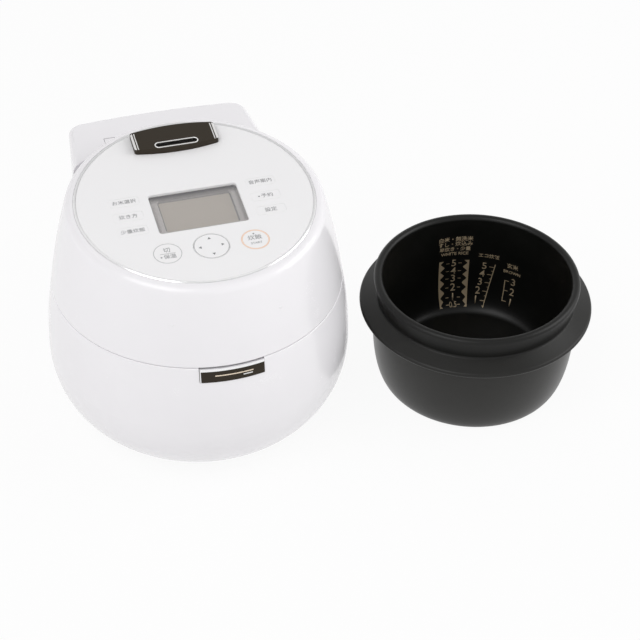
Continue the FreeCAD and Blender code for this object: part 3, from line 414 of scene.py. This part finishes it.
crystal = Finish("liquid_crystal_glass", Specular_IOR_Level=0.4)
flat, behind = on_panel(crystal)
# The glass is coloured darker along its sides and its back edge.
darker_side_and_back_band = 1 - (flat.part("X").size() < GLASS_SIDE) * (behind < GLASS_BACK)
cells = flat.bricks(900.0, 0.02, (0.352, 0.308, 0.262), (0.36, 0.316, 0.268), (0.33, 0.29, 0.25),
                    offset=0.0)
crystal.feed("Base Color", flat.tone(darker_side_and_back_band, cells, (0.16, 0.15, 0.145)))
crystal.feed("Roughness", 0.2 + flat.noise(200.0) * 0.08)
crystal.dress("lcd_screen")

clear = Finish("clear_acrylic", Specular_IOR_Level=0.5, Alpha=0.12, Base_Color=(0.9, 0.9, 0.9, 1))
clear.feed("Roughness", 0.04 + clear.place.noise(150.0) * 0.03)
clear.dress("display_window")


# Steam cap and front button: dark brown moulded plastic with a satin hairline.
# The cap lifts off for washing, and the button is pushed in to free the lid.
brown = Finish("dark_brown_hairline", Specular_IOR_Level=0.16)
hairline = brown.place.mapped({"Scale": (40.0, 900.0, 900.0)}).noise(4.0, 3.0)
brown.feed("Base Color", brown.place.tone(hairline, (0.025, 0.019, 0.012), (0.036, 0.028, 0.019)))
brown.feed("Roughness", 0.3 + hairline * 0.14)
brown.bump(hairline, 0.08, 0.0001)
brown.dress("steam_cap", "open_button")


# Key lips: a thin soft edge moulded round each white cap, a little below its face, which
# nearly closes the gap to the panel and keeps crumbs out. It moves with its key.
LIP_WIDTH = 0.16 * MM
LIP_DEPTH = 0.3 * MM
LIP_DROP = 0.45 * MM
ROUND_KEY_RADIUS = 13.0 * MM
SIDE_KEY_LENGTH = 27.0 * MM
SIDE_KEY_HEIGHT = 11.0 * MM
SIDE_KEY_CORNER = 2.5 * MM
panel = Matrix.Translation((0, 0, PANEL_HEIGHT)) @ Matrix.Rotation(PANEL_TILT, 4, "X")


def on_face(spot, lift):
    across, back = spot
    return panel @ Matrix.Translation((across * MM, back * MM, lift))


def thicken(piece, depth):
    layer = piece.modifiers.new("layer", "SOLIDIFY")
    layer.thickness = depth
    layer.offset = 1.0
    bpy.ops.object.modifier_apply(modifier=layer.name)


def lay_lips(model, keys):
    bpy.ops.object.mode_set(mode="EDIT")
    bpy.ops.mesh.select_all(action="SELECT")
    bpy.ops.mesh.inset(thickness=LIP_WIDTH)
    bpy.ops.mesh.delete(type="FACE")
    bpy.ops.object.mode_set(mode="OBJECT")
    thicken(model, LIP_DEPTH)
    for piece, (key, spot) in zip(copies(model, len(keys)), keys.items()):
        settle(piece, on_face(spot, -LIP_DROP), key + "_lip", film, key)


model = fresh(bpy.ops.mesh.primitive_circle_add, vertices=96, fill_type="NGON",
              radius=ROUND_KEY_RADIUS + LIP_WIDTH)
lay_lips(model, ROUND_KEYS)

model = fresh(bpy.ops.mesh.primitive_plane_add, size=1.0)
model.scale = (SIDE_KEY_LENGTH + 2 * LIP_WIDTH, SIDE_KEY_HEIGHT + 2 * LIP_WIDTH, 1)
fix_place()
bpy.ops.object.mode_set(mode="EDIT")
bpy.ops.mesh.select_all(action="SELECT")
bpy.ops.mesh.bevel(offset=SIDE_KEY_CORNER + LIP_WIDTH, segments=8, affect="VERTICES")
bpy.ops.object.mode_set(mode="OBJECT")
lay_lips(model, SIDE_KEYS)


# Legends on the panel: grey ink screened on the caps and the pad, with rings on the
# round keys and four small arrows on the pad. The print is a thin layer that rides on
# its key.
INK = 0.06 * MM
INK_LIFT = 0.02 * MM
PAD_SPOT = (0.0, -64.4)
ARROW_SIZE = 1.8 * MM
ARROW_REACH = 10.0 * MM
DOT_SIZE = 0.8 * MM
LINE_LENGTH = 14.0 * MM
LINE_WIDTH = 0.3 * MM
LINE_SPOT = (-39.9, -65.2)


def printing_ink(name, deep, pale):
    finish = Finish(name, Specular_IOR_Level=0.3)
    patchy = finish.place.noise(2200.0, 2.0)
    finish.feed("Base Color", finish.place.tone(patchy, deep, pale))
    finish.feed("Roughness", 0.45 + patchy * 0.2)
    return finish


def lettering(words, size, weight=0.0):
    piece = fresh(bpy.ops.object.text_add)
    piece.data.body = words
    piece.data.size = size
    piece.data.offset = weight
    piece.data.align_x = "CENTER"
    piece.data.align_y = "CENTER"
    piece.data.resolution_u = 3
    bpy.ops.object.convert(target="MESH")
    piece = bpy.context.object
    thicken(piece, INK)
    return piece


def hoop(radius, width):
    piece = fresh(bpy.ops.mesh.primitive_circle_add, vertices=96, radius=radius)
    bpy.ops.object.mode_set(mode="EDIT")
    bpy.ops.mesh.select_all(action="SELECT")
    bpy.ops.mesh.extrude_region_move()
    share = 1 - width / radius
    bpy.ops.transform.resize(value=(share, share, share))
    bpy.ops.mesh.select_all(action="SELECT")
    bpy.ops.mesh.normals_make_consistent(inside=False)
    bpy.ops.object.mode_set(mode="OBJECT")
    thicken(piece, INK)
    return piece


def spot_of_ink(corners, radius):
    piece = fresh(bpy.ops.mesh.primitive_circle_add, vertices=corners, radius=radius,
                  fill_type="NGON")
    thicken(piece, INK)
    return piece


def screen(piece, name, spot, finish, body):
    settle(piece, on_face(spot, INK_LIFT), name, finish, body)


ink = printing_ink("grey_ink", (0.20, 0.20, 0.21), (0.27, 0.27, 0.28))
amber = printing_ink("orange_ink", (0.80, 0.40, 0.16), (0.88, 0.50, 0.24))

for key, name, words, size, spot in (
        ("cancel_key", "off", "切", 6.6, (-39.9, -61.0)),
        ("cancel_key", "warm", "保温", 5.8, (-38.6, -69.4)),
        ("start_key", "cook", "炊飯", 6.6, (39.9, -62.6)),
        ("start_key", "start", "START", 3.6, (39.9, -69.6)),
        ("left_upper_key", "rice", "お米選択", 5.6, SIDE_KEYS["left_upper_key"]),
        ("left_middle_key", "way", "炊き方", 5.8, SIDE_KEYS["left_middle_key"]),
        ("left_lower_key", "little", "少量炊飯", 5.6, SIDE_KEYS["left_lower_key"]),
        ("right_upper_key", "voice", "音声案内", 5.6, SIDE_KEYS["right_upper_key"]),
        ("right_middle_key", "timer", "予約", 5.8, (65.0, -10.0)),
        ("right_lower_key", "set", "設定", 5.8, SIDE_KEYS["right_lower_key"])):
    screen(lettering(words, size * MM), key + "_" + name, spot, ink, key)

for body, name, radius, width, spot, finish in (
        ("cancel_key", "cancel_ring", 12.6, 0.36, ROUND_KEYS["cancel_key"], ink),
        ("start_key", "start_ring", 12.7, 0.45, ROUND_KEYS["start_key"], amber),
        ("start_key", "start_inner_ring", 11.8, 0.35, ROUND_KEYS["start_key"], amber),
        ("pad", "pad_ring", 15.6, 0.36, PAD_SPOT, ink)):
    screen(hoop(radius * MM, width * MM), name, spot, finish, body)

for turn, piece in enumerate(copies(spot_of_ink(3, ARROW_SIZE), 4)):
    place = on_face(PAD_SPOT, INK_LIFT) @ Matrix.Rotation(turn * math.pi / 2, 4, "Z")
    place = place @ Matrix.Translation((0, ARROW_REACH, 0))
    settle(piece, place, "pad_arrow_%d" % turn, ink, "pad")

for piece, (key, name, spot) in zip(copies(spot_of_ink(24, DOT_SIZE), 3), (
        ("cancel_key", "warm_dot", (-46.4, -69.2)),
        ("start_key", "start_dot", (39.9, -57.4)),
        ("right_middle_key", "timer_dot", (57.4, -10.0)))):
    screen(piece, name, spot, ink, key)

piece = fresh(bpy.ops.mesh.primitive_plane_add, size=1.0)
piece.scale = (LINE_LENGTH, LINE_WIDTH, 1)
fix_place()
thicken(piece, INK)
screen(piece, "cancel_line", LINE_SPOT, ink, "cancel_key")


# Steam cap trim: a pale half-round lip pressed round the vent slot, and two pale foil
# strips laid along each end of the dark cap, over its rounded edge.
CAP_SPOT = (0.0, 84.2)
CAP_TOP = 5.5 * MM
CAP_HALF = 40.0 * MM
CAP_REACH = 9.1 * MM
CAP_CORNER = 2.5 * MM
CAP_EDGE = 1.2 * MM
VENT_SPOT = (0.0, 75.0)
VENT_LENGTH = 40.4 * MM
VENT_WIDTH = 7.1 * MM
VENT_LIP = 0.58 * MM
STRIP = 0.2 * MM
STRIP_SINK = 0.03 * MM


def stadium(length, depth, thickness):
    piece = fresh(bpy.ops.mesh.primitive_circle_add, vertices=48, radius=depth / 2)
    for point in piece.data.vertices:
        point.co.x += math.copysign((length - depth) / 2, point.co.x)
    bpy.ops.object.convert(target="CURVE")
    piece = bpy.context.object
    piece.data.bevel_depth = thickness
    piece.data.bevel_resolution = 3
    bpy.ops.object.convert(target="MESH")
    return bpy.context.object


def wrapped(columns, rows, shape):
    piece = fresh(bpy.ops.mesh.primitive_grid_add, x_subdivisions=columns, y_subdivisions=rows,
                  size=1.0)
    for point in piece.data.vertices:
        point.co = shape(point.co.x + 0.5, point.co.y + 0.5)
    return piece


def cap_strip(first, last):
    def shape(across, along):
        x = first + across * (last - first)
        corner = max(0.0, x - CAP_HALF + CAP_CORNER)
        edge = max(0.0, x - CAP_HALF + CAP_EDGE)
        reach = CAP_REACH + math.sqrt(CAP_CORNER ** 2 - corner ** 2)
        drop = STRIP_SINK + CAP_EDGE - math.sqrt(CAP_EDGE ** 2 - edge ** 2)
        return x, reach * (2 * along - 1), -drop

    piece = wrapped(6, 12, shape)
    thicken(piece, STRIP)
    return piece


trim = Finish("pale_trim", Specular_IOR_Level=0.5, Metallic=0.3)
sheen = trim.place.noise(500.0, 2.0)
trim.feed("Base Color", trim.place.tone(sheen, (0.76, 0.75, 0.74), (0.82, 0.81, 0.80)))
trim.feed("Roughness", 0.25 + sheen * 0.12)

piece = stadium(VENT_LENGTH, VENT_WIDTH, VENT_LIP)
settle(piece, on_face(VENT_SPOT, CAP_TOP), "vent_lip", trim, "cap")

ends = (("right", 0.0), ("left", math.pi))
for name, first, last in (("inner", 35.9, 36.8), ("outer", 37.9, 39.75)):
    model = cap_strip(first * MM, last * MM)
    for piece, (side, turn) in zip(copies(model, len(ends)), ends):
        place = on_face(CAP_SPOT, CAP_TOP) @ Matrix.Rotation(turn, 4, "Z")
        settle(piece, place, "cap_%s_strip_%s" % (name, side), trim, "cap")


# Front button trim: a champagne line and a short bright bar let into the dark face,
# and a plated edge at its end, all following its curve.
BODY_RADIUS = 142.5 * MM
BODY_BULGE = 371.1 * MM
BODY_WIDEST = 77.8 * MM
BUTTON_PROUD = 0.6 * MM
FOIL = 0.08 * MM
FOIL_LIFT = 0.02 * MM
champagne = Finish("champagne_foil", Metallic=0.85)
foil = champagne.place.noise(700.0, 2.0)
champagne.feed("Base Color", champagne.place.tone(foil, (0.72, 0.60, 0.46), (0.82, 0.71, 0.58)))
champagne.feed("Roughness", 0.2 + foil * 0.15)


def button_foil(first, last, middle, height):
    def shape(across, along):
        x = first + across * (last - first)
        z = middle + (along - 0.5) * height
        bulge = math.sqrt(BODY_BULGE ** 2 - (z - BODY_WIDEST) ** 2) - BODY_BULGE
        out = BODY_RADIUS + bulge + BUTTON_PROUD + FOIL_LIFT
        return x, -math.sqrt(out * out - x * x), z

    piece = wrapped(24, 8, shape)
    thicken(piece, FOIL)
    return piece


for name, first, last, middle, height, finish in (
        ("button_line", -16.1, 18.9, 139.9, 1.1, champagne),
        ("button_mark", 9.5, 18.2, 137.4, 1.0, trim),
        ("button_end", -29.45, -28.6, 139.2, 11.2, chrome)):
    piece = button_foil(first * MM, last * MM, middle * MM, height * MM)
    settle(piece, Matrix.Identity(4), name, finish, "button")


# Inner pot: thick cast aluminium under a matte black non-stick coat with fine mineral
# flecks. It is turned as one profile, here as radius and height in millimetres, with a
# sloping brim. Outside, below the brim, the coat is smoother. Its outward faces there, and
# less so those of the brim, are painted a shade lighter as painted light.
POT_AXIS = (265.65 * MM, -38.5 * MM)
POT_COLUMNS = 144
OUTWARD = 4.0 * MM
CREASE = math.radians(24)
foot, heel = (84.0, 0.0), (98.6, 66.4)
brim_root, brim_under = (98.6, 84.2), (110.1, 86.2)
brim_edge, brim_corner, brim_over = (112.3, 88.4), (112.3, 90.5), (110.3, 91.1)
brim_top, neck_corner, neck = (97.2, 96.6), (95.9, 97.1), (95.9, 99.0)
rim_outside, rim_top, rim_inside = (99.2, 115.5), (95.0, 119.7), (90.8, 115.5)
wall_foot, floor_edge = (90.8, 54.0), (74.0, 8.0)


def bend(start, corner, end, steps):
    points = [start]
    for step in range(1, steps + 1):
        turn = step / steps * math.pi / 2
        points.append(tuple(b + (c - b) * (1 - math.cos(turn)) + (a - b) * (1 - math.sin(turn))
                            for a, b, c in zip(start, corner, end)))
    return points


outline = [
    (0.0, 0.0),
    *bend(foot, (heel[0], foot[1]), heel, 20),
    brim_root,
    *bend(brim_under, (brim_edge[0], brim_under[1]), brim_edge, 5),
    *bend(brim_edge, brim_corner, brim_over, 5)[1:],
    *bend(brim_top, neck_corner, neck, 5),
    *bend(rim_outside, (rim_outside[0], rim_top[1]), rim_top, 8),
    *bend(rim_top, (rim_inside[0], rim_top[1]), rim_inside, 8)[1:],
    *bend(wall_foot, (wall_foot[0], floor_edge[1]), floor_edge, 20),
    (0.0, floor_edge[1])]


def round_axis(radius, angle, height):
    x, y = POT_AXIS
    out = radius * MM
    return x + out * math.cos(angle), y + out * math.sin(angle), height * MM


def pot_shape(across, along):
    radius, height = outline[round(along * (len(outline) - 1))]
    return round_axis(radius, 2 * math.pi * (across - 0.5), height)


coat = Finish("black_non_stick", Specular_IOR_Level=0.26)
flecks = coat.place.noise(2600.0, 1.0)
breadth = coat.place.noise(30.0)
spread = coat.place.mapped({"Location": (*POT_AXIS, 0)}, vector_type="TEXTURE")
spoke = spread.vectors("MULTIPLY", (1, 1, 0), "Vector")
outward = spoke.vectors("DOT_PRODUCT", coat.facing, "Value")
level = spread.part("Z")
# Painted light: outward faces up to the brim's top are painted lighter, and those below the brim
# more so. Below the brim the coat is also smoother.
painted_light_up_to_brim_top = (outward > OUTWARD) * (level < brim_top[1] * MM)
smoother_painted_lit_outside = painted_light_up_to_brim_top * (level < brim_root[1] * MM)
paler = (flecks > 0.72) * 0.4 + breadth * 0.2 + painted_light_up_to_brim_top * 0.3 + smoother_painted_lit_outside * 0.4
coat.feed("Base Color", coat.place.tone(paler, (0.0022, 0.0023, 0.0018), (0.026, 0.0255, 0.0235)))
coat.feed("Roughness", 0.3 + breadth * 0.08 + flecks * 0.08 - smoother_painted_lit_outside * 0.06)
coat.bump(flecks, 0.12, 0.0001)

piece = wrapped(POT_COLUMNS, len(outline) - 1, pot_shape)
bpy.ops.object.mode_set(mode="EDIT")
bpy.ops.mesh.select_all(action="SELECT")
bpy.ops.mesh.remove_doubles(threshold=0.001 * MM)
bpy.ops.mesh.normals_make_consistent(inside=False)
bpy.ops.object.mode_set(mode="OBJECT")
bpy.ops.object.shade_smooth_by_angle(angle=CREASE)
settle(piece, Matrix.Identity(4), "turned_pot", coat, "pot")
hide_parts("inner_pot")


# Water-level scales inside the pot: dull gold print on the wall that faces the user,
# laid on the coating and following the wall down into its curve. All sizes and places
# on the wall are in millimetres.
PRINT_FACING = math.radians(73.4)
PRINT_WEIGHT = 0.1
PRINT_LIFT = 0.12
NEARLY_FLAT = 0.999
DIGIT = 11.6
TICK = 0.7
HALF_TICK = 0.6
EDGE_LINE = 1.0
gold = Finish("gold_ink", Metallic=0.25, Specular_IOR_Level=0.4)
worn = gold.place.noise(900.0, 3.0)
gold.feed("Base Color", gold.place.tone(worn, (0.40, 0.31, 0.195), (0.52, 0.42, 0.285)))
gold.feed("Roughness", 0.4 + worn * 0.2)


def on_wall(piece, name):
    bpy.context.view_layer.objects.active = piece
    bpy.ops.object.mode_set(mode="EDIT")
    bpy.ops.mesh.select_all(action="SELECT")
    bpy.ops.mesh.quads_convert_to_tris()
    bpy.ops.mesh.subdivide(number_cuts=1)
    bpy.ops.mesh.normals_make_consistent(inside=False)
    bpy.ops.object.mode_set(mode="OBJECT")
    wall, curve_top = wall_foot
    inner, bottom = floor_edge
    for point in piece.data.vertices:
        along, height, lift = point.co / MM
        sunk = min(max(curve_top - height, 0.0) / (curve_top - bottom), NEARLY_FLAT)
        radius = inner + (wall - inner) * math.sqrt(1 - sunk * sunk) - PRINT_LIFT - lift
        point.co = round_axis(radius, PRINT_FACING - along / wall, height)
    settle(piece, Matrix.Identity(4), name, gold, "pot")


def wall_words(words, size, along, height, name):
    piece = lettering(words, size * MM, PRINT_WEIGHT * MM)
    piece.location = (along * MM, height * MM, 0)
    fix_place()
    on_wall(piece, name)


def wall_bar(start, end, width, name):
    run, rise = end[0] - start[0], end[1] - start[1]

    def shape(across, along):
        aside = (across - 0.5) * width
        x = start[0] + run * along
        y = start[1] + rise * along
        if abs(run) > abs(rise):
            return x * MM, (y - aside) * MM, 0
        return (x + aside) * MM, y * MM, 0

    piece = wrapped(1, 12, shape)
    thicken(piece, INK)
    on_wall(piece, name)


WHITE_PLACE = -15.7
WHITE_DIGIT = 11.8
WHITE_HALF_DIGIT = 7.4
WHITE_LEVELS = {"5": 62.4, "4": 52.3, "3": 43.0, "2": 32.4, "1": 21.6, "0.5": 14.6}
DASH_NEAR = 4.6
DASH_FAR = 8.0
BAND_PLACE = 15.6
BAND_START = 12.5
BAND_LENGTH = 53.5
BAND_WIDTH = 1.4
BAND_SWELL = 4.6
sides = (("l", -1), ("r", 1))
for mark, height in WHITE_LEVELS.items():
    tag = mark.replace(".", "_")
    size = WHITE_DIGIT if len(mark) == 1 else WHITE_HALF_DIGIT
    wall_words(mark, size, WHITE_PLACE, height, "white_level_" + tag)
    for side, sign in sides:
        near, far = WHITE_PLACE + sign * DASH_NEAR, WHITE_PLACE + sign * DASH_FAR
        wall_bar((near, height), (far, height), TICK, "white_dash_%s_%s" % (tag, side))


def white_band(sign, name):
    def shape(across, along):
        height = BAND_START + along * BAND_LENGTH
        gap = min(abs(height - level) for level in WHITE_LEVELS.values())
        inward = BAND_WIDTH + min(gap, BAND_SWELL) if (across - 0.5) * sign < 0 else 0.0
        return (WHITE_PLACE + sign * (BAND_PLACE - inward)) * MM, height * MM, 0

    piece = wrapped(1, 50, shape)
    thicken(piece, INK)
    on_wall(piece, name)


for side, sign in sides:
    white_band(sign, "white_band_" + side)

ECO_PLACE = 15.6
ECO_COUNT = 5
ECO_TOP = 59.4
ECO_STEP = 10.1
ECO_HALF_STEP = 5.0
ECO_TICK = (20.4, 26.0)
ECO_HALF_TICK = (23.0, 25.2)
ECO_EDGE = ((26.6, 63.5), (18.2, 12.5))
ECO_LEAN = 6.3
ECO_EDGE_LEAN = 1.65
for row in range(ECO_COUNT):
    mark = ECO_COUNT - row
    height = ECO_TOP - ECO_STEP * row
    lean = ECO_LEAN * row / (ECO_COUNT - 1)
    edge_lean = ECO_EDGE_LEAN * row
    wall_words(str(mark), DIGIT, ECO_PLACE - lean, height, "eco_level_%d" % mark)
    for (near, far), level, width, name in (
            (ECO_TICK, height, TICK, "eco_tick_%d"),
            (ECO_HALF_TICK, height - ECO_HALF_STEP, HALF_TICK, "eco_half_tick_%d")):
        wall_bar((near - lean, level), (far - edge_lean, level), width, name % mark)
wall_bar(*ECO_EDGE, EDGE_LINE, "eco_line")

BROWN_PLACE = 47.2
BROWN_COUNT = 3
BROWN_TOP = 46.8
BROWN_STEP = 11.7
BROWN_TICK = (38.0, 42.4)
BROWN_EDGE = ((38.0, 23.0), (38.0, 47.2))
for row in range(BROWN_COUNT):
    mark = BROWN_COUNT - row
    height = BROWN_TOP - BROWN_STEP * row
    near, far = BROWN_TICK
    wall_words(str(mark), DIGIT, BROWN_PLACE, height, "brown_level_%d" % mark)
    wall_bar((near, height), (far, height), TICK, "brown_tick_%d" % mark)
wall_bar(*BROWN_EDGE, EDGE_LINE, "brown_line")

for name, words, size, along, height in (
        ("white_heading", "白米・無洗米", 6.0, WHITE_PLACE, 93.0),
        ("mixed_heading", "すし・炊込み", 6.0, WHITE_PLACE, 86.9),
        ("quick_heading", "早炊き・少量", 5.4, WHITE_PLACE, 80.6),
        ("plain_heading", "WHITE RICE", 5.2, WHITE_PLACE, 74.6),
        ("eco_heading", "エコ炊飯", 5.4, 19.4, 72.6),
        ("brown_heading", "玄米", 6.4, 44.8, 66.0),
        ("brown_plain_heading", "BROWN", 5.0, 44.8, 58.4)):
    wall_words(words, size, along, height, name)


# Studio: white paper floor, a pale sky that darkens a little overhead, two large soft
# lamps at the front left and the right, and the camera at the photograph's place.
FLOOR_SIZE = 8.0
FLOOR_DROP = 0.5 * MM
FLOOR_GLOW = 0.93
SKY_LOW = 0.1
SKY_HIGH = 0.75
SKY_DIM = 0.42
SKY_MIRRORED = 0.5
LAMP_AIM = Vector((0.08, 0, 0.12))
floor = fresh(bpy.ops.mesh.primitive_plane_add, size=FLOOR_SIZE, location=(0, 0, -FLOOR_DROP))
floor.name = "floor"
paper = Finish("white_paper_floor", Roughness=0.9, Specular_IOR_Level=0.1)
fibres = paper.place.noise(60.0)
paper.feed("Base Color", paper.place.tone(fibres, (0.80, 0.80, 0.80), (0.82, 0.82, 0.82)))
tree = paper.material.node_tree
paths = tree.nodes.new("ShaderNodeLightPath").outputs
seen = Shade(tree, paths["Is Camera Ray"]) + Shade(tree, paths["Is Glossy Ray"])
seen = seen + Shade(tree, paths["Is Transmission Ray"])
glow = seen.make("ShaderNodeEmission", {"Color": (1, 1, 1, 1), "Strength": 1.0})
lit = Shade(tree, paper.shader.outputs[0])
mixed = seen.make("ShaderNodeMixShader", {0: (seen > 0.5) * FLOOR_GLOW, 1: lit, 2: glow})
tree.links.new(mixed.socket, tree.nodes["Material Output"].inputs["Surface"])
floor.data.materials.append(paper.material)

world = bpy.data.worlds.new("studio")
bpy.context.scene.world = world
world.use_nodes = True
tree = world.node_tree
sky = tree.nodes["Background"]
sky.inputs["Color"].default_value = (1, 1, 1, 1)
height = Shade(tree, tree.nodes.new("ShaderNodeTexCoord").outputs["Generated"]).part("Z")
paths = tree.nodes.new("ShaderNodeLightPath").outputs
direct = Shade(tree, paths["Is Camera Ray"])
mirrored = Shade(tree, paths["Is Glossy Ray"])
ceiling = height.ramp(SKY_LOW, SKY_HIGH, 1.0, SKY_DIM)
ceiling = ceiling + mirrored * (1 - ceiling) * SKY_MIRRORED
tree.links.new((direct + (1 - direct) * ceiling).socket, sky.inputs["Strength"])

for name, place, size, power in (
        ("key", (-1.1, -0.9, 2.1), 1.5, 20.5),
        ("fill", (1.9, -0.4, 1.2), 1.4, 17.0)):
    lamp = fresh(bpy.ops.object.light_add, type="AREA", location=place)
    lamp.name = name
    lamp.data.size = size
    lamp.data.energy = power
    lamp.rotation_euler = (LAMP_AIM - Vector(place)).to_track_quat("-Z", "Y").to_euler()

AIM_HEIGHT = 0.148
CAMERA_DISTANCE = 1.8531
CAMERA_ASIDE = 0.11466
CAMERA_BELOW = 0.04466
LENS = 111.48
SENSOR = 36.0
right = Vector((0.9617, -0.2740, 0.0147)).normalized()
back = Vector((-0.2182, -0.7314, 0.6461)).normalized()
right = (right - back * right.dot(back)).normalized()
up = back.cross(right)
stand = Vector((0, 0, AIM_HEIGHT)) + back * CAMERA_DISTANCE
stand = stand + right * CAMERA_ASIDE - up * CAMERA_BELOW
camera = fresh(bpy.ops.object.camera_add)
camera.matrix_world = Matrix((
    (right.x, up.x, back.x, stand.x),
    (right.y, up.y, back.y, stand.y),
    (right.z, up.z, back.z, stand.z),
    (0, 0, 0, 1)))
camera.data.lens = LENS
camera.data.sensor_width = SENSOR
bpy.context.scene.camera = camera
bpy.context.scene.view_settings.view_transform = "Standard"
